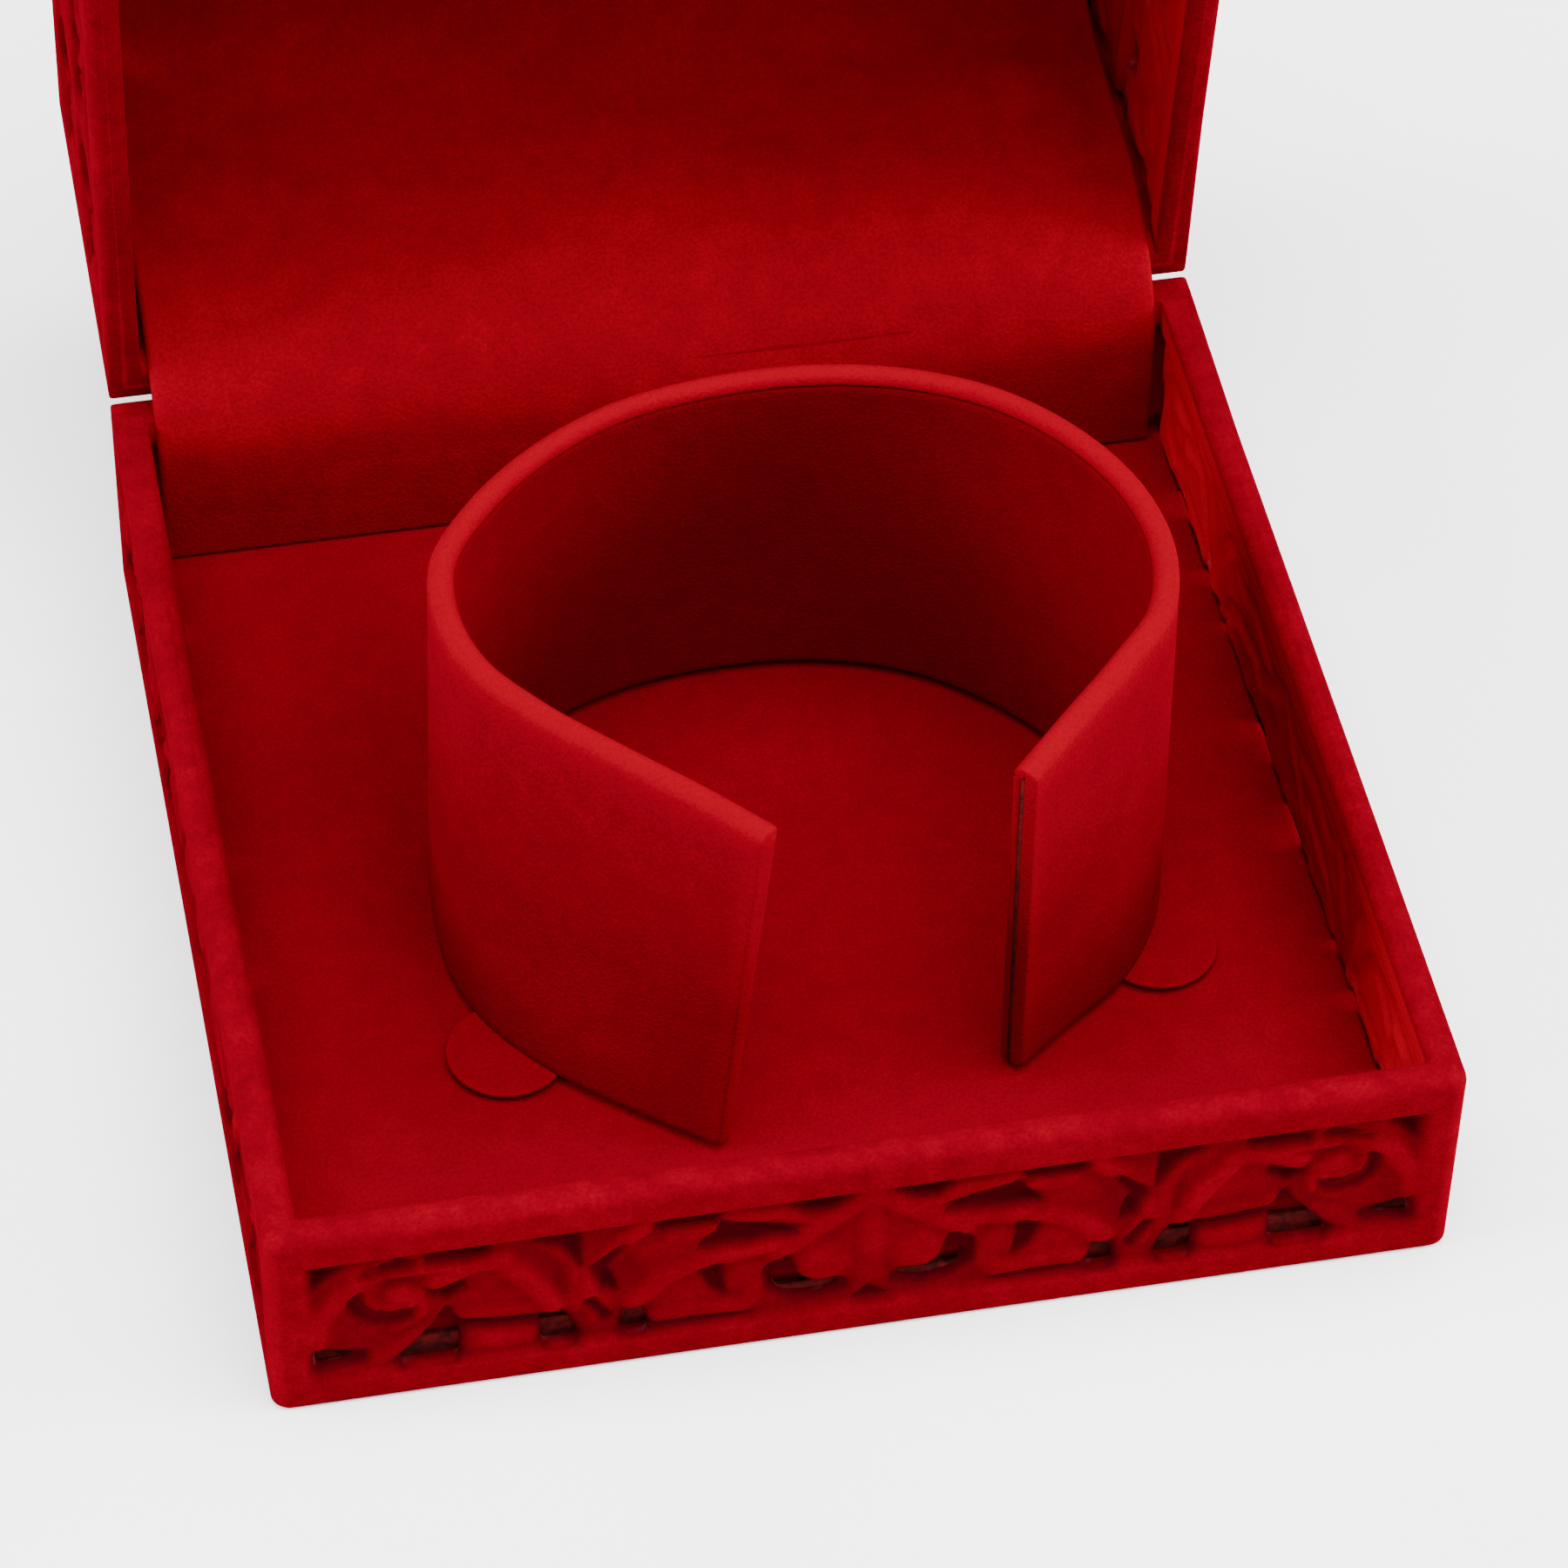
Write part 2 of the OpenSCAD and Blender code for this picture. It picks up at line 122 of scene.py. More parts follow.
# Crests of the relief: points in band millimetres, then width, and height as a share
CRESTS = (
    (((-43, 3.8), (-42.2, 7.2), (-40.6, 9.6), (-37.3, 11.7), (-33.6, 12.0), (-30.6, 11.4)),
     1.15, 0.55),
    (((-33.2, 9.9), (-30.4, 11.3), (-28.3, 11.3), (-26.2, 8.6), (-24.4, 5.1)), 0.95, 0.55),
    (((-31.5, 5.4), (-28.2, 5.2), (-24.6, 4.9)), 0.7, 0.25),
    (((-38.9, 8.6), (-38.3, 6.3), (-36.4, 5.4), (-34.6, 6.6), (-34.8, 8.6), (-36.2, 9.2)),
     0.85, 0.45),
    (((-17.0, 13.4), (-19.2, 11.4), (-20.9, 8.8), (-21.8, 6.2), (-20.8, 3.2)), 0.95, 0.5),
    (((-18.2, 4.0), (-16.4, 6.3), (-13.8, 7.6), (-10.4, 8.2), (-7.4, 8.8)), 0.95, 0.5),
    (((-17.2, 1.9), (-13.4, 2.1), (-9.9, 1.8), (-8.6, 3.6)), 0.85, 0.35),
    (((-15.2, 11.6), (-13.6, 11.3), (-10.6, 12.6), (-7.2, 12.2), (-4.3, 11.0), (0, 12.8)),
     0.8, 0.4),
    (((0, 13.1), (-2.4, 11.2), (-4.8, 9.4), (-7.2, 7.6)), 1.0, 0.45),
    (((0, 12.0), (0, 3.2)), 0.9, 0.25),
    (((-24.2, 13.0), (-23.0, 8.8), (-22.6, 4.6)), 0.8, 0.3),
    (((-43.0, 1.0), (-38.0, 1.2), (-34.9, 3.6)), 0.8, 0.3),
)
# Rounded leaves and lobes: middle, half width, half height, height as a share of the relief
LEAVES = (
    ((-36.6, 7.3), 1.9, 1.6, 0.4), ((-28.4, 8.3), 3.2, 2.2, 0.2), ((-28.3, 2.0), 2.9, 1.5, 0.55),
    ((-3.7, 5.6), 2.1, 2.3, 0.55), ((-14.0, 4.2), 2.8, 1.7, 0.35), ((-15.8, 9.6), 2.4, 1.4, 0.2),
    ((0, 8.2), 2.6, 2.4, 0.3), ((-39.8, 12.4), 1.6, 1.0, 0.25), ((-19.6, 9.0), 1.5, 2.8, -0.3),
    ((-36.8, 10.6), 2.2, 0.7, -0.35), ((-23.8, 8.6), 0.8, 2.2, -0.3), ((-9.8, 5.2), 1.2, 1.6, 0.3),
)

# Plan of the collar's outside from the left wing's tip round the back to the right wing's,
# in millimetres, along its top edge and along its foot
COLLAR_TOP = (
    (-5.8, -30.4), (-9.9, -25.8), (-15.5, -20.1), (-20.9, -14.3), (-24.6, -8.8), (-26.1, -2.6),
    (-25.5, 3.2), (-21.6, 9.2), (-16.2, 14.2), (-8.7, 18.3), (-0.4, 20.0), (7.65, 20.0),
    (15.4, 18.2), (22.1, 14.6), (27.6, 8.6), (30.8, 1.8), (31.6, -5.2), (29.7, -12.2),
    (25.5, -17.2), (20.6, -22.3), (15.4, -27.8),
)
COLLAR_FOOT = (
    (-8.7, -30.9), (-11.9, -28.4), (-15.2, -25.7), (-20.6, -20.7), (-24.7, -14.9), (-26.5, -9.6),
    (-26.8, -3.4), (-26.1, 3.6), (-23.2, 10.2), (-14.9, 18.4), (-8.0, 21.2), (1.0, 22.4),
    (9.4, 21.7), (18.0, 18.4), (23.6, 13.8), (28.4, 7.4), (31.2, -0.6), (31.6, -8.4),
    (29.5, -14.6), (26.2, -19.3), (20.9, -23.3), (15.8, -27.1),
)

COLLAR_TIP = 0.35 * MM
# Middles of the two round tabs under the collar, in millimetres
COLLAR_TABS = (("left", -23.4, -18.0), ("right", 29.6, -16.0))

# Front of the lining sheet from the pad up the tray's hinge wall, over the hinge, along the
# lid's hinge wall and round into its roof, as (Y, Z) in millimetres with the lid open
LINING_LINE = (
    (41.7, 4.9), (41.6, 9.0), (41.6, 13.4), (42.1, 17.4), (43.7, 20.7), (46.2, 23.4),
    (49.4, 25.5), (53.4, 26.9), (58.6, 27.7), (64.2, 28.4), (68.6, 29.4), (72.0, 31.6),
    (73.9, 35.0), (74.6, 39.4), (74.3, 44.2), (73.1, 54.0), (71.9, 63.6), (70.7, 73.4),
    (69.5, 83.2), (68.3, 93.0), (67.1, 102.6), (66.3, 109.4),
)


# ---------------------------------------------------------------- colours and materials

def linear(code):
    """Linear RGBA of an sRGB hex colour."""
    srgb = np.array([int(code[i:i + 2], 16) for i in (1, 3, 5)]) / 255
    rgb = np.where(srgb <= 0.04045, srgb / 12.92, ((srgb + 0.055) / 1.055) ** 2.4)
    return (*(float(v) for v in rgb), 1.0)


def add_node(tree, kind, inputs=(), **settings):
    """A node of that kind. settings fill its attributes or, by name, its input sockets. inputs
    gives sockets, by name or index, a value or another node's output to link."""
    node = tree.nodes.new(kind)
    for key, value in settings.items():
        if hasattr(node, key):
            setattr(node, key, value)
        else:
            node.inputs[key.replace("_", " ")].default_value = value
    for name, value in dict(inputs).items():
        if isinstance(value, bpy.types.NodeSocket):
            tree.links.new(value, node.inputs[name])
        else:
            node.inputs[name].default_value = value
    return node


def new_material(name):
    """An empty node material, its tree, and the place that its patterns read."""
    material = bpy.data.materials.new(name)
    material.use_nodes = True
    tree = material.node_tree
    tree.nodes.clear()
    return material, tree, add_node(tree, "ShaderNodeTexCoord").outputs["Object"]


def shaded_by(tree, colour, shade, strength, field, low, high):
    """The colour, taken towards shade by strength where the field is low: from fully at low to
    not at all at high."""
    dark = add_node(tree, "ShaderNodeMix", {0: strength, 6: colour, 7: shade}, data_type="RGBA")
    level = add_node(tree, "ShaderNodeMapRange", {"Value": field}, From_Min=low, From_Max=high,
                     interpolation_type="SMOOTHSTEP")
    return add_node(tree, "ShaderNodeMix", {0: level.outputs["Result"], 6: dark.outputs[2],
                                            7: colour}, data_type="RGBA").outputs[2]


def pile_material(name, deep, body, lit, pile, mottle, brush, sheen, grainy, bare=False):
    """A short upright pile: fibre grain of size pile, clumps of size mottle and brushed patches
    of size brush (metres), and grainy is the grain's strength. A fibre is about 0.02 mm thick,
    too fine to show, so the grain is drawn as tufts some 15 times as coarse. deep, body and lit
    are the colours between the fibres, of the pile and of its opened tips; deep is also the
    painted shade and lit the painted highlight. The attribute worn marks opened tips together
    with painted highlight, hollow marks recesses and shaded strips, darkened as painted shade,
    and bare marks where the pile is thin."""
    material, tree, place = new_material(name)
    grain, clumps, patches = (
        add_node(tree, "ShaderNodeTexNoise", {"Vector": place}, Scale=1 / size, Detail=detail,
                 Roughness=rough).outputs["Fac"]
        for size, detail, rough in ((pile, 2.0, 0.6), (mottle, 3.0, 0.55), (brush, 1.0, 0.4)))
    wear_and_painted_highlight, hollow = (
        add_node(tree, "ShaderNodeAttribute", attribute_name=mark).outputs["Fac"]
        for mark in ("wear_and_painted_highlight", "hollow"))
    colour = body
    for field, strength, low, high in ((clumps, 0.35, 0.2, 0.8), (grain, grainy, 0.3, 0.7),
                                       (patches, 0.22, 0.25, 0.8)):
        colour = shaded_by(tree, colour, deep, strength, field, low, high)
    tufts = add_node(tree, "ShaderNodeMapRange", {"Value": grain}, From_Min=-0.3, From_Max=0.6,
                     interpolation_type="SMOOTHSTEP").outputs["Result"]
    # Opened pile, and painted highlight, where worn is set: the colour goes towards lit
    tips = add_node(tree, "ShaderNodeMath", {0: wear_and_painted_highlight, 1: tufts}, operation="MULTIPLY")
    colour = add_node(tree, "ShaderNodeMix", {0: tips.outputs[0], 6: colour, 7: lit},
                      data_type="RGBA").outputs[2]
    # Painted shade: where hollow is set the colour goes most of the way to deep
    painted_recess_shade = add_node(tree, "ShaderNodeMix", {0: 0.9, 6: colour, 7: deep}, data_type="RGBA")
    colour = add_node(tree, "ShaderNodeMix", {0: hollow, 6: colour, 7: painted_recess_shade.outputs[2]},
                      data_type="RGBA").outputs[2]
    bump = add_node(tree, "ShaderNodeBump", {"Height": grain}, Strength=0.5, Distance=pile * 0.6)
    bump = add_node(tree, "ShaderNodeBump", {"Height": clumps, "Normal": bump.outputs[0]},
                    Strength=0.25, Distance=mottle * 0.03)
    shader = add_node(tree, "ShaderNodeBsdfPrincipled",
                      {"Base Color": colour, "Normal": bump.outputs[0],
                       "Sheen Tint": linear("#ff1434")},
                      Roughness=0.92, Specular_IOR_Level=0.0, Sheen_Weight=sheen,
                      Sheen_Roughness=0.38)
    if bare:
        # Bare moulding shows through in spots: smooth plastic, so its highlights are sharp
        thin = add_node(tree, "ShaderNodeAttribute", attribute_name="bare").outputs["Fac"]
        clear = add_node(tree, "ShaderNodeMapRange", {"Value": clumps}, From_Min=0.5,
                         From_Max=0.62, interpolation_type="SMOOTHSTEP").outputs["Result"]
        spots = add_node(tree, "ShaderNodeMath", {0: thin, 1: clear}, operation="MULTIPLY")
        for socket, pile_value, bare_value in (("Roughness", 0.92, 0.3),
                                               ("Specular IOR Level", 0.0, 0.5)):
            level = add_node(tree, "ShaderNodeMapRange", {"Value": spots.outputs[0]},
                             To_Min=pile_value, To_Max=bare_value)
            tree.links.new(level.outputs["Result"], shader.inputs[socket])
    add_node(tree, "ShaderNodeOutputMaterial", {"Surface": shader.outputs[0]})
    return material


def flocked_abs(colours):
    """Rayon flock shot on to an ABS moulding: dense, upright 0.4 mm fibres. The eye sees a deep
    even red that brightens where the pile opens over edges, with painted highlight on edges,
    crests and lit faces and painted shade in recesses, and a fine grain."""
    return pile_material("flocked rayon pile on ABS moulding", linear(colours.flock_deep),
                         linear(colours.flock), linear(colours.flock_tips_and_painted_highlight), pile=0.32 * MM,
                         mottle=1.6 * MM, brush=9 * MM, sheen=0.03, grainy=0.24, bare=True)


def velvet_card(colours):
    """Flocked velvet paper on board: a shorter, closer pile, so the grain is finer and the face
    evener, with brushed patches where a hand has turned it."""
    return pile_material("flocked velvet paper on board", linear(colours.velvet_deep),
                         linear(colours.velvet), linear(colours.velvet_tips_and_painted_highlight), pile=0.3 * MM,
                         mottle=2.4 * MM, brush=14 * MM, sheen=0.04, grainy=0.45)


def lining_velvet(colours):
    """Velvet sheet backed with paper: like the pad's, brushed along its length in long
    patches, so that bends in it go from deep to bright."""
    return pile_material("backed velvet sheet", linear(colours.velvet_deep),
                         linear(colours.lining), linear(colours.velvet_tips_and_painted_highlight), pile=0.3 * MM,
                         mottle=3.2 * MM, brush=18 * MM, sheen=0.04, grainy=0.4)


def dyed_board(colours):
    """Dyed millboard: matt, with short pressed fibres about 0.9 mm long that mottle it, and
    specks 1.4 mm apart."""
    material, tree, place = new_material("dyed millboard")
    fibres = add_node(tree, "ShaderNodeTexNoise", {"Vector": place}, Scale=1 / (0.9 * MM),
                      Detail=5.0, Roughness=0.65).outputs["Fac"]
    specks = add_node(tree, "ShaderNodeTexVoronoi", {"Vector": place}, Scale=1 / (1.4 * MM))
    colour = shaded_by(tree, linear(colours.card), linear(colours.card_deep), 1.0, fibres,
                       0.3, 0.7)
    near = add_node(tree, "ShaderNodeMapRange", {"Value": specks.outputs["Distance"]},
                    From_Min=0.12, From_Max=0.0, interpolation_type="SMOOTHSTEP")
    colour = add_node(tree, "ShaderNodeMix", {0: near.outputs["Result"], 6: colour,
                                              7: linear("#401410")}, data_type="RGBA").outputs[2]
    bump = add_node(tree, "ShaderNodeBump", {"Height": fibres}, Strength=0.4, Distance=0.08 * MM)
    shader = add_node(tree, "ShaderNodeBsdfPrincipled",
                      {"Base Color": colour, "Normal": bump.outputs[0]},
                      Roughness=0.9, Specular_IOR_Level=0.06)
    add_node(tree, "ShaderNodeOutputMaterial", {"Surface": shader.outputs[0]})
    return material


def drawn_steel(colours):
    """Drawn steel wire: bright grey with die lines 0.1 mm apart along its length, coarser than
    real ones so that they show."""
    material, tree, place = new_material("drawn steel wire")
    along = add_node(tree, "ShaderNodeMapping", {"Vector": place, "Scale": (150, 9000, 9000)})
    lines = add_node(tree, "ShaderNodeTexNoise", {"Vector": along.outputs[0]}, Scale=1.0,
                     Detail=2.0).outputs["Fac"]
    rough = add_node(tree, "ShaderNodeMapRange", {"Value": lines}, To_Min=0.22, To_Max=0.42)
    bump = add_node(tree, "ShaderNodeBump", {"Height": lines}, Strength=0.15, Distance=0.02 * MM)
    colour = add_node(tree, "ShaderNodeMix", {0: lines, 6: linear("#8f9296"),
                                              7: linear(colours.steel)}, data_type="RGBA")
    shader = add_node(tree, "ShaderNodeBsdfPrincipled",
                      {"Base Color": colour.outputs[2], "Roughness": rough.outputs["Result"],
                       "Normal": bump.outputs[0]}, Metallic=1.0)
    add_node(tree, "ShaderNodeOutputMaterial", {"Surface": shader.outputs[0]})
    return material


def pale_cloth_floor(colours):
    """A plain pale floor with the faintest satin grain, so that it reads soft and matt. Its
    threads are drawn 0.7 mm apart, coarser than real ones, and it drifts in tone over 90 mm."""
    material, tree, place = new_material("pale satin floor")
    grain, drift = (
        add_node(tree, "ShaderNodeTexNoise", {"Vector": place}, Scale=1 / size, Detail=2.0,
                 Roughness=0.5).outputs["Fac"] for size in (0.7 * MM, 90 * MM))
    colour = shaded_by(tree, linear(colours.floor), linear("#eeedef"), 1.0, drift, 0.3, 0.7)
    thread = add_node(tree, "ShaderNodeMix", {0: 0.12, 6: colour, 7: linear("#c9c8ca")},
                      data_type="RGBA")
    colour = add_node(tree, "ShaderNodeMix", {0: grain, 6: thread.outputs[2], 7: colour},
                      data_type="RGBA").outputs[2]
    bump = add_node(tree, "ShaderNodeBump", {"Height": grain}, Strength=0.12, Distance=0.1 * MM)
    shader = add_node(tree, "ShaderNodeBsdfPrincipled",
                      {"Base Color": colour, "Normal": bump.outputs[0]},
                      Roughness=0.7, Specular_IOR_Level=0.25)
    add_node(tree, "ShaderNodeOutputMaterial", {"Surface": shader.outputs[0]})
    return material


MAKERS = {"flock": flocked_abs, "velvet": velvet_card, "lining": lining_velvet,
          "card": dyed_board, "steel": drawn_steel, "floor": pale_cloth_floor}
made = {}


def finish_of(kind):
    """The material of that kind, made once."""
    if kind not in made:
        made[kind] = MAKERS[kind](bpy.context.scene.bangle_box_colours)
    return made[kind]


# ---------------------------------------------------------------- meshes

def outward(points, quads, tris):
    """The faces turned so that the closed surface's signed volume, a sum over its triangles of
    a . (b x c), is positive."""
    fans = np.concatenate([quads[:, [0, 1, 2]], quads[:, [0, 2, 3]], tris])
    a, b, c = (points[fans[:, i]] for i in range(3))
    if np.einsum("ij,ij->", a, np.cross(b, c)) < 0:
        return quads[:, ::-1], tris[:, ::-1]
    return quads, tris


def make_piece(name, points, quads, tris=None, marks=None, creases=None, body="base",
               finish="flock"):
    """A mesh object from arrays. marks are named values at the points that the materials read.
    creases flags points: an edge with both ends flagged is sharp. Unused points are dropped."""
    tris = np.zeros((0, 3), int) if tris is None else tris
    used, back = np.unique(np.concatenate([quads.ravel(), tris.ravel()]), return_inverse=True)
    points = points[used]
    quads = back[:quads.size].reshape(-1, 4)
    tris = back[quads.size:].reshape(-1, 3)
    quads, tris = outward(points - points.mean(0), quads, tris)
    mesh = bpy.data.meshes.new(name)
    mesh.vertices.add(len(points))
    mesh.vertices.foreach_set("co", points.astype(np.float32).ravel())
    loops = np.concatenate([quads.ravel(), tris.ravel()])
    sizes = np.concatenate([np.full(len(quads), 4), np.full(len(tris), 3)])
    mesh.loops.add(len(loops))
    mesh.loops.foreach_set("vertex_index", loops.astype(np.int32))
    mesh.polygons.add(len(sizes))
    mesh.polygons.foreach_set("loop_start", (np.cumsum(sizes) - sizes).astype(np.int32))
    mesh.update(calc_edges=True)
    mesh.shade_smooth()
    if creases is not None:
        ends = np.empty(len(mesh.edges) * 2, np.int32)
        mesh.edges.foreach_get("vertices", ends)
        sharp = creases[used][ends.reshape(-1, 2)].all(1)
        mesh.attributes.new("sharp_edge", "BOOLEAN", "EDGE").data.foreach_set("value", sharp)
    for mark, values in (marks or {}).items():
        layer = mesh.attributes.new(mark, "FLOAT", "POINT")
        layer.data.foreach_set("value", values[used].astype(np.float32))
    mesh.materials.append(finish_of(finish))
    obj = bpy.data.objects.new(name, mesh)
    bpy.context.collection.objects.link(obj)
    if body:
        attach(obj, body)
    return obj


def grid_quads(rows, cols, closed_rows=False, closed_cols=False):
    """Quads of a rows by cols grid of points, going round where it is closed."""
    r = np.arange(rows if closed_rows else rows - 1)
    c = np.arange(cols if closed_cols else cols - 1)
    r, c = np.meshgrid(r, c, indexing="ij")
    up, across = (r + 1) % rows, (c + 1) % cols
    corners = [r * cols + c, r * cols + across, up * cols + across, up * cols + c]
    return np.stack(corners, -1).reshape(-1, 4)


def mirror_caps(rows, cols, along_rows):
    """Quads that close both ends of a grid whose section folds back on itself: they join each
    point of the section's first half to its opposite one in the second half. The section runs
    down the columns, or along the rows where along_rows is set."""
    count, step = (cols, 1) if along_rows else (rows, cols)
    ends = (0, (rows - 1) * cols) if along_rows else (0, cols - 1)
    k = np.arange(count // 2 - 1)
    near, opposite = k * step, (count - 1 - k) * step
    cap = np.stack([near, near + step, opposite - step, opposite], 1)
    first, last = ((cap + end) for end in ends)
    return (first[:, ::-1], last) if along_rows else (first, last[:, ::-1])


def open_lid(points):
    """Points of the closed lid, turned about the hinge to where it stands open."""
    angle = bpy.context.scene.bangle_box_sizes.open_angle
    turn = np.array(Matrix.Rotation(-angle, 3, "X"))
    return (points - HINGE) @ turn.T + HINGE


def smooth_step(x):
    """0 below 0, 1 above 1 and the cubic 3x^2 - 2x^3 between."""
    x = np.clip(x, 0, 1)
    return x * x * (3 - 2 * x)


def spline(knots, count, spread=None):
    """count points along a cubic through the knots. Each span runs from one knot to the next
    with slopes that are the chord between the knots' neighbours, over chord length."""
    knots = np.array(knots, float)
    at = np.concatenate([[0], np.cumsum(np.linalg.norm(np.diff(knots, axis=0), axis=1))])
    slope = np.gradient(knots, at, axis=0, edge_order=2 if len(knots) > 2 else 1)
    u = (np.linspace(0, 1, count) if spread is None else spread) * at[-1]
    i = np.clip(np.searchsorted(at, u, side="right") - 1, 0, len(knots) - 2)
    h = (at[i + 1] - at[i])[:, None]
    t = ((u - at[i]) / (at[i + 1] - at[i]))[:, None]
    return ((2 * t**3 - 3 * t**2 + 1) * knots[i] + (t**3 - 2 * t**2 + t) * h * slope[i]
            + (3 * t**2 - 2 * t**3) * knots[i + 1] + (t**3 - t**2) * h * slope[i + 1])


# ---------------------------------------------------------------- openwork

def line_distance(x, y, points):
    """Distance from (x, y) to the nearest point of a line through the points."""
    nearest = np.full(x.shape, np.inf)
    for (ax, ay), (bx, by) in zip(points[:-1], points[1:]):
        dx, dy = bx - ax, by - ay
        t = np.clip(((x - ax) * dx + (y - ay) * dy) / (dx * dx + dy * dy), 0, 1)
        nearest = np.minimum(nearest, np.hypot(x - ax - t * dx, y - ay - t * dy))
    return nearest


def inside_distance(x, y, corners):
    """Distance to a polygon's outline, positive inside it, by the even-odd rule."""
    ring = (*corners, corners[0])
    inside = np.zeros(x.shape, bool)
    for (ax, ay), (bx, by) in zip(ring[:-1], ring[1:]):
        if ay != by:
            crosses = ((ay > y) != (by > y)) & (x < (bx - ax) * (y - ay) / (by - ay) + ax)
            inside ^= crosses
    return np.where(inside, 1, -1) * line_distance(x, y, ring)


def crescent(cx, cy, radius, shift, start, end):
    """A crescent: an arc of that radius, closed by a smaller arc moved away from its middle."""
    middle = np.radians((start + end) / 2)
    outer, inner = np.radians(np.linspace(start, end, 11)), np.radians(np.linspace(end, start, 9))
    ox, oy = cx - shift * np.cos(middle), cy - shift * np.sin(middle)
    return (*zip(cx + radius * np.cos(outer), cy + radius * np.sin(outer)),
            *zip(ox + 0.86 * radius * np.cos(inner), oy + 0.86 * radius * np.sin(inner)))


def soften(field, times):
    """The field averaged with its neighbours, which rounds the corners of its zero line."""
    for _ in range(times):
        for axis in (0, 1):
            pad = [(1, 1) if a == axis else (0, 0) for a in (0, 1)]
            f = np.pad(field, pad, mode="edge")
            n = field.shape[axis]
            cut = [f.take(range(k, k + n), axis=axis) for k in range(3)]
            field = (cut[0] + 2 * cut[1] + cut[2]) / 4
    return field


def band_pattern(x, y):
    """Distance from the nearest opening (mm, positive in the solid), the relief's height and the
    pockets' depth (0 to 1) at (x, y) in band millimetres. Each opening also has a sloping sill,
    so it reaches 0.7 mm further down, and above OPEN_TO it is only a pocket. The relief is a
    flat-topped bell by distance from the nearest crest's line, and adds a flat-topped dome for
    each leaf."""
    base = 0.25
    left = -np.abs(x)
    solid = np.full(x.shape, np.inf)
    for reach in (0.0, 0.35, 0.7):
        for corners in OPENINGS:
            solid = np.minimum(solid, -inside_distance(left, y + reach, corners))
    hollow = -solid
    solid = np.maximum(solid, y - OPEN_TO)
    for reach in (0.0, 0.45):
        for corners in (*POCKETS, crescent(-36.9, 8.6, 2.9, 0.9, 170, 310)):
            hollow = np.maximum(hollow, inside_distance(left, y + reach, corners))
    relief = np.full(x.shape, base)
    for points, width, height in CRESTS:
        bell = np.exp(-(line_distance(left, y, points) / width) ** 4)
        relief = np.maximum(relief, base + 1.2 * height * bell)
    for (cx, cy), rx, ry, height in LEAVES:
        relief = relief + height * np.exp(-(((left - cx) / rx) ** 2 + ((y - cy) / ry) ** 2) ** 2)
    return solid, np.clip(relief, 0, 1), smooth_step(0.6 + hollow / 0.6)


def snap_to_openings(solid, a, b):
    """Moves each grid point that is near the openings' edge on to it. Where the distance changes
    sign along a grid line or diagonal, the nearer end slides along to the zero. After that
    no grid edge crosses the openings' edge."""
    rows, cols = solid.shape
    halfway = 0.5001
    best = np.full(solid.shape, halfway)
    move_a, move_b = np.zeros(solid.shape), np.zeros(solid.shape)
    for dr, dc in ((0, 1), (0, -1), (1, 0), (-1, 0), (1, 1), (-1, -1)):
        here = np.s_[max(0, -dr):rows - max(0, dr), max(0, -dc):cols - max(0, dc)]
        there = np.s_[max(0, dr):rows - max(0, -dr), max(0, dc):cols - max(0, -dc)]
        f, g = solid[here], solid[there]
        share = np.where(f * g < 0, f / np.where(f == g, 1, f - g), 1)
        nearer = share < best[here]
        best[here] = np.where(nearer, share, best[here])
        move_a[here] = np.where(nearer, share * (a[there] - a[here]), move_a[here])
        move_b[here] = np.where(nearer, share * (b[there] - b[here]), move_b[here])
    moved = best < halfway
    return np.where(moved, 0, solid), a + move_a, b + move_b


def cut_faces(solid):
    """Quads and triangles of a grid that lie in the solid, and the directed edges along the
    openings, as grid indices."""
    rows, cols = solid.shape
    flat = solid.ravel()
    quads = grid_quads(rows, cols)
    f = flat[quads]
    whole = (f >= 0).all(1) & (f > 0).any(1)
    part = quads[~whole]
    tris = np.concatenate([part[:, [0, 1, 2]], part[:, [0, 2, 3]]])
    g = flat[tris]
    tris = tris[(g >= 0).all(1) & (g > 0).any(1)]
    quads = quads[whole]
    edges = np.concatenate([quads[:, [i, (i + 1) % 4]] for i in range(4)]
                           + [tris[:, [i, (i + 1) % 3]] for i in range(3)])
    key = np.sort(edges, 1) @ np.array([rows * cols, 1])
    _, first, count = np.unique(key, return_index=True, return_counts=True)
    edges = edges[first[count == 1]]
    r, c = edges // cols, edges % cols
    border = ((r == 0).all(1) | (r == rows - 1).all(1) | (c == 0).all(1) | (c == cols - 1).all(1))
    return quads, tris, edges[~border]


def arc_rows(radius, steps):
    """A quarter turn as (rise, run) from (0, radius) to (radius, 0), without its ends."""
    a = np.linspace(0, np.pi / 2, steps + 2)[1:-1]
    return radius - radius * np.cos(a), radius - radius * np.sin(a)


def wall_place(s, depth, half, corner):
    """Plan place of the point s along a wall and depth in from its face. Near the ends the
    length is squeezed so that walls meet on the diagonal, and the corner is an arc whose angle
    runs from 0 to 45 degrees up to the diagonal."""
    bend_from = half - 4.5 * MM
    reach = half - depth
    x = np.abs(s)
    squeezed = bend_from + (x - bend_from) * (reach - bend_from) / (half - bend_from)
    x = np.where(x <= bend_from, x, squeezed)
    radius = np.maximum(corner - 0.3 * depth, 0.2 * MM)
    t = np.clip((x - reach + radius) / radius, 0, 1) * np.pi / 4
    across = np.where(t > 0, reach - radius + radius * np.sin(t), x)
    return np.sign(s) * across, -(reach - radius + radius * np.cos(t))


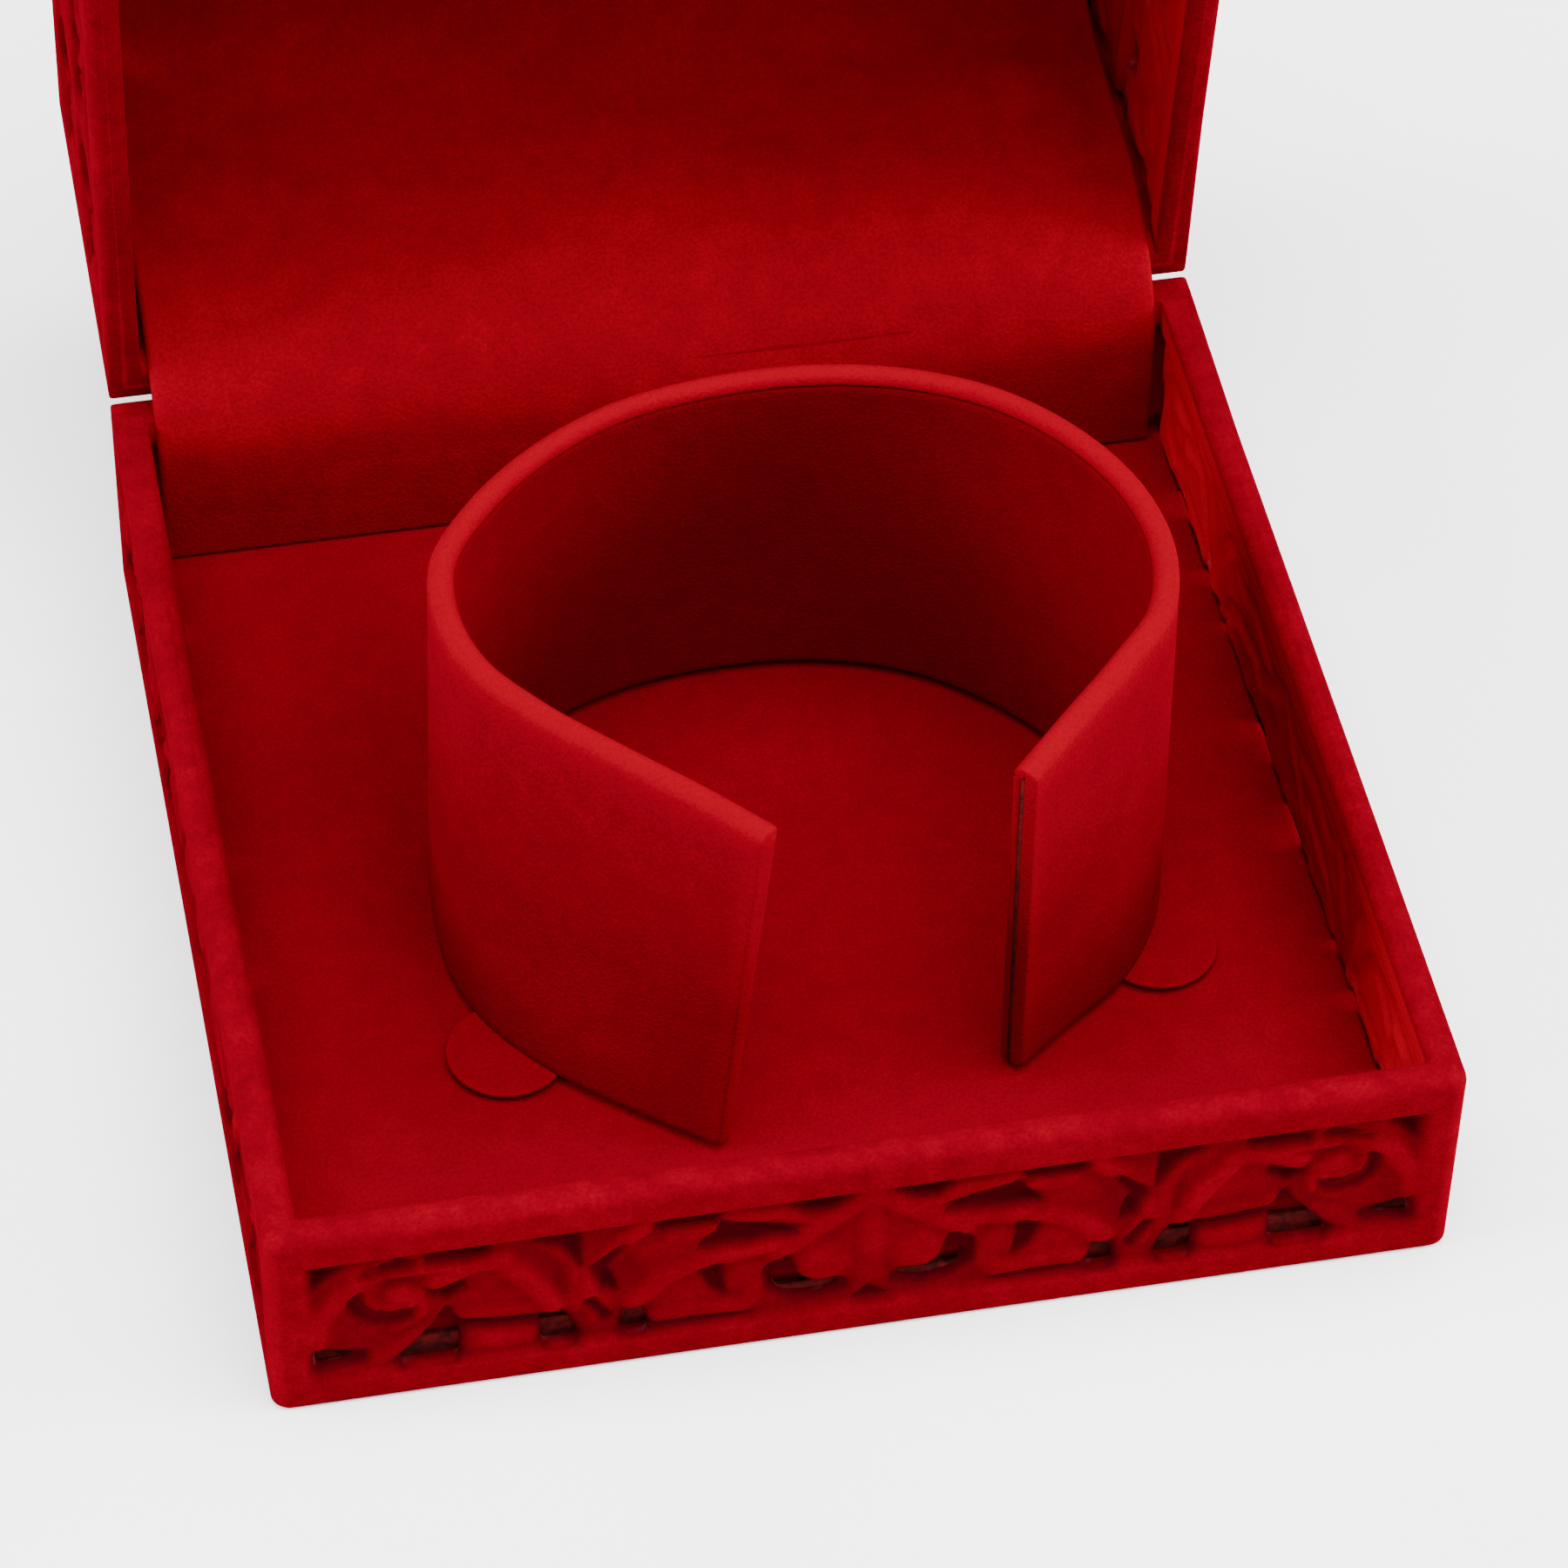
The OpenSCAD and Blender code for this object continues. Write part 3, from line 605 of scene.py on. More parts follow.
def wall_openings(a, v, bands, half):
    """Distance from the nearest opening over a wall's face, in millimetres: each band's openings,
    kept 0.1 mm clear of its rails and 3 mm clear of the wall's ends, with softened corners."""
    solid = np.full(a.shape, 9.0)
    for start, band in bands:
        end = start + band
        rails = (0.1 * MM - np.minimum(v - start, end - v)) / MM
        openings = band_pattern(a / MM, (end - v) / band * BAND_HEIGHT)[0]
        solid = np.minimum(solid, np.maximum(openings, rails))
    return np.maximum(soften(solid, 2), 3.05 - np.abs(half - np.abs(a)) / MM)


def wall_relief(a, v, bands, edge):
    """A wall's relief, its pockets, and how far each point is in a band, which eases from 0 to 1
    over 0.8 mm inside the rails. edge is where the bands end along the wall."""
    relief, pocket, inside = (np.zeros(a.shape) for _ in range(3))
    for start, band in bands:
        end = start + band
        here = np.minimum.reduce([v - start, end - v, edge - np.abs(a)])
        share = smooth_step((here + 0.1 * MM) / (0.8 * MM))
        _, height, depth = band_pattern(a / MM, (end - v) / band * BAND_HEIGHT)
        relief, pocket = np.where(share > 0, height, relief), np.where(share > 0, depth, pocket)
        inside = np.maximum(inside, share)
    return relief, pocket, inside


def rim_rows(round_r, rim):
    """Rows of half a rim, from its middle to the face, as (height below its top, depth): a crown
    0.05 mm high, then a quarter circle of radius round_r."""
    crown = 0.05 * MM
    rise, run = arc_rows(1.0, 4)
    flat = np.outer(crown * np.linspace(0, 1, 5) ** 2, np.ones(len(round_r)))
    return (np.concatenate([flat, crown + np.outer(rise, round_r - crown)]),
            np.concatenate([np.linspace(rim / 2, round_r, 5), np.outer(run, round_r)]))


def far_edge(height, round_r, lid):
    """The far edge's rows as (height, depth) for the outer face, then the inner one. The tray's
    edge is half of a rounded edge twice. The lid's runs in along the roof's top to the roof's
    openwork, and on its inside out along the roof's underside."""
    size = bpy.context.scene.bangle_box_sizes
    rim, panel = size.rim_thickness, size.panel_thickness
    rise, run = (part[::-1] for part in arc_rows(round_r, 4))
    if not lid:
        outer_v = np.concatenate([height - rise, np.full(3, height)])
        outer = np.concatenate([run, np.linspace(round_r, panel / 2, 4)[:-1]])
        return outer_v, outer, outer_v, panel - outer
    outer_v = np.concatenate([height - rise, np.full(6, height),
                              [height - 0.1 * MM, height - 0.35 * MM]])
    outer = np.concatenate([run, np.linspace(round_r, rim - 0.35 * MM, 6), [rim - 0.08 * MM, rim]])
    under = height - size.roof_thickness
    inner_v = np.append(np.full(len(outer) - 1, under), under + 0.5 * MM)
    inner = np.append(np.linspace(panel + 0.1 * MM, rim, len(outer) - 1), rim)
    return outer_v, outer, inner_v, inner


def notch_depth(s, v, notches):
    """Depth of the notches for the other half's hinge knuckles: a circle's half chord at each
    height above the axis, over each notch's span along the wall."""
    size = bpy.context.scene.bangle_box_sizes
    reach = np.sqrt(np.maximum(size.notch_radius ** 2 - (v + size.lid_gap / 2) ** 2, 0))
    groove = np.zeros(s.shape)
    for start, end in notches:
        within = smooth_step(np.minimum(s - start, end - s) / (0.3 * MM) + 0.5)
        groove = np.maximum(groove, within * reach)
    return groove


def wall_faces(solid, rows, cols, first):
    """Quads and triangles of a wall whose section has that many rows, the outer skin starting
    at row first. They are the ring of the section apart from its two skins, the skins as the
    openings cut them, a strip that joins the two round each opening, and the ends."""
    last = first + len(solid) - 1
    ring = grid_quads(rows, cols, closed_rows=True)
    row = ring[:, 0] // cols
    skin = (row >= first) & (row < last)
    skin |= (row >= rows - 1 - last) & (row < rows - 1 - first)
    quads, tris, edges = (part + first * cols for part in cut_faces(solid))

    def across(index):
        """The point on the inner face opposite one on the outer face."""
        return (rows - 1 - index // cols) * cols + index % cols

    strip = np.stack([edges[:, 1], edges[:, 0], across(edges[:, 0]), across(edges[:, 1])], 1)
    return (np.concatenate([ring[~skin], quads, across(quads)[:, ::-1], strip,
                            *mirror_caps(rows, cols, along_rows=False)]),
            np.concatenate([tris, across(tris)[:, ::-1]]))


def openwork_wall(name, height, side, notches, lid):
    """One wall with its openwork. Its grid runs along the wall (s) and round its section: down
    the outer face from the rim, over the far edge and back up the inner face. Depth from the
    face is 0 on the rails. In the bands it is GROUND_DEPTH less the relief, more at the
    openings' lips and in the pockets. The openings are cut through both faces."""
    size = bpy.context.scene.bangle_box_sizes
    half, rim, panel = size.side / 2, size.rim_thickness, size.panel_thickness
    s = np.linspace(-half, half, int(round(2 * half / size.mesh_step)) + 1)
    # Rims and corners sharpen towards the hinge: 0 is the front wall, 1 the back wall, and a side
    # wall runs from -1 at its front end to 1 at its back end
    back = (0 * s, s / half, 1 + 0 * s, -s / half)[side]
    round_r = np.interp(back, (0.6, 0.95), (RIM_ROUND, HINGE_ROUND))
    corner_r = np.interp(back, (0.0, 0.6), (size.corner_radius, 0.3 * MM))
    far_round, far_rail, count = TRAY_EDGE_ROUND, TRAY_FAR_RAIL, 1
    if lid:
        far_round, far_rail, count = LID_EDGE_ROUND, LID_FAR_RAIL, 2
    band = (height - RIM_RAIL - far_rail - MIDDLE_RAIL * (count - 1)) / count
    bands = [(RIM_RAIL + i * (band + MIDDLE_RAIL), band) for i in range(count)]

    skin = height - far_round - RIM_ROUND
    v_skin = np.linspace(RIM_ROUND, height - far_round, int(round(skin / size.mesh_step)) + 1)
    a, v = np.meshgrid(s, v_skin)
    solid, a, v = snap_to_openings(wall_openings(a, v, bands, half), a, v)
    relief, pocket, inside = wall_relief(a, v, bands, half - rim)
    lip = np.exp(-np.maximum(solid, 0) / 0.3)
    backed = LID_BACKED if lid else height - size.pad_clear
    thick = panel + WALL_BACKING * smooth_step((backed - v) / (0.6 * MM))
    rail_in = panel + (rim - panel) * smooth_step((RIM_RAIL + 0.25 * MM - v) / (0.7 * MM))
    sunk = GROUND_DEPTH - RELIEF_HEIGHT * relief + LIP_DEPTH * lip + WALL_POCKET * pocket
    outer = inside * np.minimum(sunk, thick - 0.4 * MM)
    carved = thick - (0.45 * relief + 0.1 * lip) * MM
    inner = np.maximum(rail_in * (1 - inside) + inside * carved, outer + 0.3 * MM)

    def rows(values):
        return np.repeat(np.asarray(values)[:, None], len(s), 1)

    # The outer face's rows, then the inner face's: half the rim, the skin, half the far edge
    rim_v, rim_out = rim_rows(round_r, rim)
    outer_v, outer_far, inner_v, inner_far = far_edge(height, far_round, lid)
    v_in = v
    if lid:
        v_in = np.minimum(v, height - size.roof_thickness - 0.02 * (v_skin[-1] - v))
    section_s = np.concatenate([np.repeat(s[None], len(rim_v), 0), a,
                                np.repeat(s[None], len(outer_far), 0)])
    face_v = np.concatenate([rim_v, v, rows(outer_v)])
    face = np.concatenate([rim_out, outer, rows(outer_far)])
    groove = notch_depth(section_s, face_v, notches)
    face = groove + face * (rim - groove) / rim
    depth = np.concatenate([face, np.concatenate([rim - rim_out, inner, rows(inner_far)])[::-1]])
    drop = np.concatenate([face_v, np.concatenate([rim_v, v_in, rows(inner_v)])[::-1]])
    section_s = np.concatenate([section_s, section_s[::-1]])
    x, y = wall_place(section_s, depth, half, corner_r)
    z = size.tray_height + size.lid_gap + drop if lid else size.tray_height - drop
    cos, sin = np.cos(side * np.pi / 2), np.sin(side * np.pi / 2)
    points = np.stack([x * cos - y * sin, x * sin + y * cos, z], -1).reshape(-1, 3)
    quads, tris = wall_faces(solid, *depth.shape, len(rim_v))

    # Marks: the pile opens along edges, with painted highlight on relief crests, upright corners
    # and the inner faces above the pad, painted shade at the openings' lips, on the low ground and
    # in the pockets, and the pile thins round the openings' inner lips
    near_rim, near_edge = np.zeros(rim_v.shape), np.zeros((len(outer_far), len(s)))
    outer_wear_and_painted_highlight = np.maximum(0.03 * (1 - inside), 0.15 * (relief - 0.3) * inside)
    # Painted light: the inner faces above the pad are lightened
    inner_painted_light = smooth_step((backed - v) / (0.8 * MM)) * (1 - 0.8 * lip)
    wear_and_painted_highlight = np.concatenate([near_rim + 0.02, outer_wear_and_painted_highlight, near_edge + 0.02,
                           near_edge + 0.02, inner_painted_light[::-1], near_rim + 0.02])
    corner = smooth_step((np.abs(section_s) - half + 1.6 * MM) / (1.2 * MM))
    wear_and_painted_highlight = np.maximum(wear_and_painted_highlight, 0.15 * corner * (depth < 1.0 * MM))
    # Painted shade: darker at the openings' lips, on the low ground and in the pockets
    deep = inside * (1.2 * lip + 0.55 * (1 - relief) + 0.9 * pocket)
    hollow = np.concatenate([near_rim, deep, near_edge, near_edge, 0.1 * deep[::-1], near_rim])
    thin = inside * np.exp(-np.maximum(solid, 0) / 0.7)
    bare = np.concatenate([near_rim, 0 * thin, near_edge, near_edge, thin[::-1], near_rim])
    ends = np.zeros(depth.shape, bool)
    ends[:, [0, -1]] = True
    return make_piece(name, open_lid(points) if lid else points, quads, tris,
                      {"wear_and_painted_highlight": wear_and_painted_highlight.ravel(), "hollow": np.clip(hollow, 0, 1).ravel(),
                       "bare": bare.ravel()},
                      ends.ravel(), body="lid" if lid else "base")


def roof_field(x, y, field):
    """The roof's field, of half width field, at (x, y) in millimetres: how far inside a round
    opening each point is, and the relief. A disc stands in the middle of two rings of eight.
    Each has a rib round it, and the field has a ring, two wavy frame lines whose radius falls
    and rises four times a turn, and a boss in each corner."""
    turn, radius = np.arctan2(y, x), np.hypot(x, y)
    petal = 0.13 * field
    disc = 0.9 * petal - radius
    relief = np.maximum(0.2, 0.6 * np.exp(-((radius - 0.62 * field) / 0.8) ** 2))
    rib = np.exp(-((-disc - 0.9) / 0.75) ** 2)
    for ring, size, offset in ((0.42, petal, 0.0), (0.8, 0.8 * petal, 22.5)):
        sector = np.radians(360 / 8)
        local = (turn - np.radians(offset) + sector / 2) % sector - sector / 2
        gap = np.hypot(radius * np.cos(local) - field * ring, radius * np.sin(local))
        disc = np.maximum(disc, size - gap)
        rib = np.maximum(rib, np.exp(-((gap - size - 0.9) / 0.75) ** 2))
    for start, swing, width in ((1.03, 0.14, 1.0), (1.2, 0.12, 0.7)):
        frame_r = field * (start - swing * np.cos(4 * turn))
        rib = np.maximum(rib, np.exp(-((radius - frame_r) / width) ** 4))
    boss = np.hypot(np.abs(x) - 0.88 * field, np.abs(y) - 0.88 * field)
    relief = np.maximum(relief, np.maximum(0.95 * rib, 0.9 * np.exp(-(boss / 2.2) ** 4)))
    return disc, relief


def roof_pattern(x, y):
    """The roof's openings, relief, how far it is in a pattern and its pockets at (x, y) in
    millimetres: the wall's band along each side, mitred at the corners, round the field."""
    size = bpy.context.scene.bangle_box_sizes
    inside = (size.side / 2 - size.rim_thickness) / MM
    rib = 2 * MIDDLE_RAIL / MM
    along = np.where(np.abs(x) > np.abs(y), y, x)
    across = inside - np.maximum(np.abs(x), np.abs(y))
    solid, relief, pocket = band_pattern(along, across)
    mitre = inside - rib / 2 - (across + rib) * BAND_HEIGHT / (BAND_HEIGHT + rib) - np.abs(along)
    solid = np.maximum(solid, -0.77 * mitre)
    relief = np.maximum(relief, 0.9 * np.exp(-(mitre / 0.9) ** 2) * (across < BAND_HEIGHT))
    in_band = smooth_step((np.minimum(across, BAND_HEIGHT - across) + 0.1) / 0.8)
    disc, swirl = roof_field(x, y, inside - BAND_HEIGHT - rib)
    in_field = across > BAND_HEIGHT + rib / 2
    return (np.where(in_field, -disc, solid), np.where(in_field, swirl, relief),
            np.maximum(in_band, smooth_step((across - BAND_HEIGHT - rib) / 0.8)),
            np.where(in_field, 0, pocket * in_band))


def openwork_roof(name):
    """The lid's roof inside its frame: two grids over the plan, cut by the openings and joined
    round them and round the outside. The upper one's depth below the frame is GROUND_DEPTH less
    the relief, more at the openings' lips and in the pockets. The lower one is flat but for its
    lips."""
    size = bpy.context.scene.bangle_box_sizes
    half = size.side / 2 - size.rim_thickness + 0.15 * MM
    count = int(round(2 * half / (size.mesh_step * 1.2))) + 1
    line = np.linspace(-half, half, count)
    x, y = np.meshgrid(line, line)
    solid = soften(roof_pattern(x / MM, y / MM)[0], 2)
    solid, x, y = snap_to_openings(solid, x, y)
    _, relief, inside, pocket = roof_pattern(x / MM, y / MM)
    border = smooth_step((half - np.maximum(np.abs(x), np.abs(y))) / (1.0 * MM))
    lip = np.exp(-np.maximum(solid, 0) / 0.45)
    sunk = GROUND_DEPTH - RELIEF_HEIGHT * relief + LIP_DEPTH * lip
    upper = 0.12 * MM * (1 - inside) + inside * sunk
    upper = np.minimum(upper + ROOF_POCKET * pocket, size.roof_thickness - 0.35 * MM)
    upper = upper * border + 0.3 * MM * (1 - border)
    lower = size.roof_thickness - 0.15 * lip * MM * inside
    top = size.tray_height + size.lid_gap + size.lid_height
    points = np.concatenate([np.stack([x, y, top - depth], -1).reshape(-1, 3)
                             for depth in (upper, lower)])
    quads, tris, edges = cut_faces(solid)
    n = count * count
    strip = np.stack([edges[:, 1], edges[:, 0], edges[:, 0] + n, edges[:, 1] + n], 1)
    index = np.arange(n).reshape(count, count)
    ring = np.concatenate([index[0], index[1:, -1], index[-1, -2::-1], index[-2:0:-1, 0]])
    after = np.roll(ring, -1)
    outside = np.stack([after, ring, ring + n, after + n], 1)
    quads = np.concatenate([quads, quads[:, ::-1] + n, strip, outside])
    tris = np.concatenate([tris, tris[:, ::-1] + n])
    # Opened pile with painted highlight on the relief; painted shade at the openings' lips and on
    # the low ground
    wear_and_painted_highlight = 0.15 * relief * inside + 0.08 * (1 - inside)
    hollow = np.clip(inside * (0.9 * lip + 0.5 * (1 - relief)), 0, 1)
    marks = {"wear_and_painted_highlight": np.append(wear_and_painted_highlight, np.zeros(n)), "hollow": np.append(hollow, np.zeros(n))}
    crease = np.zeros(2 * n, bool)
    crease[ring], crease[ring + n] = True, True
    return make_piece(name, open_lid(points), quads, tris, marks, crease, body="lid")


# ---------------------------------------------------------------- hinges, sheets and collar

def along_hinges(spans):
    """Spans in millimetres from a hinge's middle, at both hinges, in metres."""
    x = bpy.context.scene.bangle_box_sizes.hinge_x
    return [(side * x + a * MM, side * x + b * MM) for side in (-1, 1) for a, b in spans]


def knuckles(name, spans, body):
    """Hinge knuckles: each is a bored barrel, a rounded rectangle of radius and length turned
    once round the hinge axis."""
    size = bpy.context.scene.bangle_box_sizes
    outer, bore, ease = size.knuckle_radius, size.pin_radius + PIN_CLEARANCE, 0.35 * MM
    around = 64
    turn = np.linspace(0, 2 * np.pi, around, endpoint=False)
    a = np.linspace(0, np.pi / 2, 5)
    ring, shoulder = (bore + outer - ease) / 2, outer - ease + ease * np.sin(a)
    r = np.concatenate([[bore, ring], shoulder, np.full(7, outer),
                        outer - ease + ease * np.cos(a), [ring, bore], np.full(7, bore)])
    points, quads = [], []
    for x0, x1 in spans:
        x = np.concatenate([[x0, x0], x0 + ease - ease * np.cos(a),
                            np.linspace(x0 + ease, x1 - ease, 9)[1:-1],
                            x1 - ease + ease * np.sin(a), [x1, x1],
                            np.linspace(x1, x0, 9)[1:-1]])
        grid = np.stack([np.repeat(x[:, None], around, 1), HINGE[1] + r[:, None] * np.cos(turn),
                         HINGE[2] + r[:, None] * np.sin(turn)], -1)
        quads.append(grid_quads(len(x), around, True, True) + len(points) * len(x) * around)
        points.append(grid.reshape(-1, 3))
    points = np.concatenate(points)
    return make_piece(name, points, np.concatenate(quads), None,
                      {"wear_and_painted_highlight": np.full(len(points), 0.1)}, body=body)


def edge_line(length, round_over, step):
    """Places along a sheet from 0 to length: close together within round_over of each edge, as
    round_over (1 - cos a), and step apart between."""
    a = np.linspace(0, np.pi / 2, 6)
    near = round_over * (1 - np.cos(a))
    count = max(2, int(round((length - 2 * round_over) / step)))
    middle = np.linspace(round_over, length - round_over, count + 1)[1:-1]
    return np.concatenate([near, middle, (length - near)[::-1]])


def soft_sheet(name, centre, u, v, thickness, marks=None, body="base", finish="velvet"):
    """A sheet of cloth: two faces half the thickness to each side of its middle surface, along
    the surface's normal. The half thickness falls as a quarter circle within its own width of
    the edge, where the faces meet."""
    normal = np.cross(np.gradient(centre, axis=0), np.gradient(centre, axis=1))
    normal /= np.linalg.norm(normal, axis=2, keepdims=True)
    reach = np.minimum(np.minimum(u - u[0], u[-1] - u)[:, None],
                       np.minimum(v - v[0], v[-1] - v)[None, :])
    radius = thickness / 2
    lift = radius * np.sqrt(np.clip(1 - np.clip(1 - reach / radius, 0, 1) ** 2, 0, 1))
    front, back = centre + normal * lift[..., None], centre - normal * lift[..., None]
    rows, cols = len(u), len(v)
    points = np.concatenate([front.reshape(-1, 3), back.reshape(-1, 3)])
    index = np.arange(rows * cols).reshape(rows, cols)
    twin = index + rows * cols
    twin[[0, -1], :] = index[[0, -1], :]
    twin[:, [0, -1]] = index[:, [0, -1]]
    quads = grid_quads(rows, cols)
    under = twin.ravel()[quads[:, ::-1]]
    # Edges lighter: the pile opens there, together with painted highlight along the lining's edges
    values = {"wear_and_painted_highlight": 0.8 * np.exp(-(reach / (0.9 * MM)) ** 2), **(marks or {})}
    values = {mark: np.tile(value.ravel(), 2) for mark, value in values.items()}
    return make_piece(name, points, np.concatenate([quads, under]), None, values, body=body,
                      finish=finish)


def flat_velvet(name, half, z, thickness, rise, short):
    """A velvet pad cut almost square, short at its front, where a strip along the front edge is
    darkened as painted shadow: its middle surface is flat, with a slow swell of height rise, a sum
    of sines, from the glue under it."""
    u = edge_line(2 * half, thickness / 2, 0.9 * MM)
    w = edge_line(2 * half - short, thickness / 2, 0.9 * MM)
    x, y = np.meshgrid(u - half, w - half + short, indexing="ij")
    swell = rise * (np.sin(x / (17 * MM) + 0.6) * np.cos(y / (21 * MM) - 0.4)
                    + 0.5 * np.sin((x + y) / (9 * MM)))
    reach = np.minimum(half - np.maximum(np.abs(x), y), y + half - short)
    centre = np.stack([x, y, z + swell * smooth_step(reach / (6 * MM))], -1)
    # Painted shadow: the pad darkens towards its front edge, where the front wall shades it
    shade = np.exp(-((y + half - short) / (1.8 * MM)) ** 2)
    return soft_sheet(name, centre, u, w, thickness, {"wear_and_painted_highlight": 0 * shade, "hollow": shade})


def lining(name):
    """The lining: one sheet whose section is a smooth line from the pad over the hinge to the
    lid's roof, carried across the width. A slow ripple, a sum of two sines 0.22 mm high, moves
    it back where it hangs free."""
    cloth = bpy.context.scene.bangle_box_cloth
    width, thickness = cloth.lining_width, cloth.lining_thickness
    knots = np.array(LINING_LINE) * MM
    length = np.linalg.norm(np.diff(spline(knots, 400), axis=0), axis=1).sum()
    t = edge_line(length, thickness / 2, 0.5 * MM)
    s = edge_line(width, thickness / 2, 0.9 * MM)
    line = spline(knots, len(t), t / length)
    slope = np.gradient(line, t, axis=0)
    slope /= np.linalg.norm(slope, axis=1, keepdims=True)
    normal = np.stack([-slope[:, 1], slope[:, 0]], 1)
    x, along = np.meshgrid(s - width / 2, t, indexing="ij")
    free = smooth_step((along - 8 * MM) / (8 * MM)) * smooth_step((length - along) / (10 * MM))
    ripple = 0.22 * MM * free * (np.sin(x / (13 * MM) + along / (16 * MM))
                                 + 0.6 * np.sin(x / (7.5 * MM) - 1.1 + along / (22 * MM)))
    section = line[None] - normal[None] * (thickness / 2 + ripple)[..., None]
    centre = np.concatenate([x[..., None], section], -1)
    sheet = soft_sheet(name, centre, s, t, thickness, body=None, finish="lining")
    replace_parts(sheet, "lining_lower", "lining_upper", "lid_ceiling_velvet")
    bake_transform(sheet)


def collar_lines(count, insets):
    """Outside of the collar along its foot and its top edge, with the same number of points,
    about count, spread evenly along each, denser at the wings' tips. insets shorten it there."""
    length = np.linalg.norm(np.diff(spline(np.array(COLLAR_TOP) * MM, 800), axis=0), axis=1).sum()
    run = insets[0] + edge_line(length - sum(insets), COLLAR_TIP, length / count)
    spread = run / length
    foot = spline(np.array(COLLAR_FOOT) * MM, len(run), spread)
    top = spline(np.array(COLLAR_TOP) * MM, len(run), spread)
    return foot, top, run, length


def inward(line):
    """Unit normals to a plan line, on the side towards the collar's inside."""
    slope = np.gradient(line, axis=0)
    slope /= np.linalg.norm(slope, axis=1, keepdims=True)
    side = np.stack([slope[:, 1], -slope[:, 0]], 1)
    middle = line.mean(0)
    if np.einsum("ij,ij->", side, middle - line) < 0:
        side = -side
    return side


def collar_point(foot, top, offset, height, z0, collar_h):
    """Points at offsets inside the collar's outside and heights above its foot: the foot's and
    the top's plan places mixed by height, each moved inwards by the offset."""
    share = (height / collar_h)[..., None]
    low = foot[:, None, :] + inward(foot)[:, None, :] * offset[..., None]
    high = top[:, None, :] + inward(top)[:, None, :] * offset[..., None]
    plan = low * (1 - share) + high * share
    return np.concatenate([plan, (z0 + height)[..., None]], -1)


def collar_band(name, section, finish, wear_and_painted_highlight_of=None, insets=(0.0, 0.0), folded=None):
    """A band of the collar: a closed section of (offset, height) points carried along it. At the
    tips the section closes in to its middle as a quarter circle, and board's stays open. folded
    is the section where the velvet is folded round the left tip, which the section turns into
    over its last millimetre. wear_and_painted_highlight_of gives how open the pile is at a height,
    together with painted highlight there."""
    cloth = bpy.context.scene.bangle_box_cloth
    foot, top, run, length = collar_lines(300, insets)
    reach = np.minimum(run - run[0], run[-1] - run)
    offset, height = (np.broadcast_to(part, (len(run), len(part))) for part in section)
    if folded:
        fold = smooth_step((1.3 * MM - run) / (0.4 * MM))[:, None]
        offset, height = (part * (1 - fold) + other * fold
                          for part, other in zip((offset, height), folded))
    middle = (offset.min(1, keepdims=True) + offset.max(1, keepdims=True)) / 2
    round_in = 1 - np.clip(1 - reach / COLLAR_TIP, 0, 1) ** 2
    close = np.sqrt(np.clip(round_in, 1 if finish == "card" else 0.02, 1))
    spread = middle + (offset - middle) * close[:, None]
    points = collar_point(foot, top, spread, height, cloth.collar_foot, cloth.collar_height)
    quads = [grid_quads(*height.shape, closed_cols=True),
             *mirror_caps(*height.shape, along_rows=True)]
    # Tips lighter: opened pile and painted highlight
    wear_and_painted_highlight = 0.35 * np.exp(-(reach / (1.5 * MM)) ** 2)[:, None]
    wear_and_painted_highlight = np.maximum(wear_and_painted_highlight_of(height) if wear_and_painted_highlight_of else 0 * height, wear_and_painted_highlight)
    return make_piece(name, points.reshape(-1, 3), np.concatenate(quads), None,
                      {"wear_and_painted_highlight": wear_and_painted_highlight.ravel()}, finish=finish), length


def outer_facing(cloth):
    """Section of the outer facing: up the outside, half a circle over the top edge, and back
    under it and down between it and the board."""
    t, h, skin = cloth.collar_thickness, cloth.collar_height, cloth.facing_thickness
    r, ease = t / 2, 0.12 * MM
    a = np.linspace(0, np.pi, 15)
    up = np.linspace(0.15 * MM, h - r, 60)
    outside = np.concatenate([[ease], np.zeros(len(up)), (r - r * np.cos(a))[1:]])
    outside_h = np.concatenate([[0.0], up, (h - r + r * np.sin(a))[1:]])
    under = (r - skin) * np.cos(a[::-1]), (r - skin) * np.sin(a[::-1])
    back = np.concatenate([r - under[0], np.full(len(up) - 1, skin), [skin - ease]])
    back_h = np.concatenate([h - r + under[1], up[::-1][1:], [0.0]])
    return np.concatenate([outside, back]), np.concatenate([outside_h, back_h])


def flat_facing(o0, o1, top):
    """Section of a flat layer between two offsets, with eased corners."""
    ease = min(0.25 * MM, (o1 - o0) / 2.2)
    up = np.linspace(ease, top - ease, 50)
    inset = np.concatenate([[ease, 0.3 * ease], np.zeros(len(up)), [0.3 * ease, ease]])
    rise = np.concatenate([[0, 0.3 * ease], up, [top - 0.3 * ease, top]])
    return np.concatenate([o0 + inset, o1 - inset]), np.concatenate([rise, rise[::-1]])


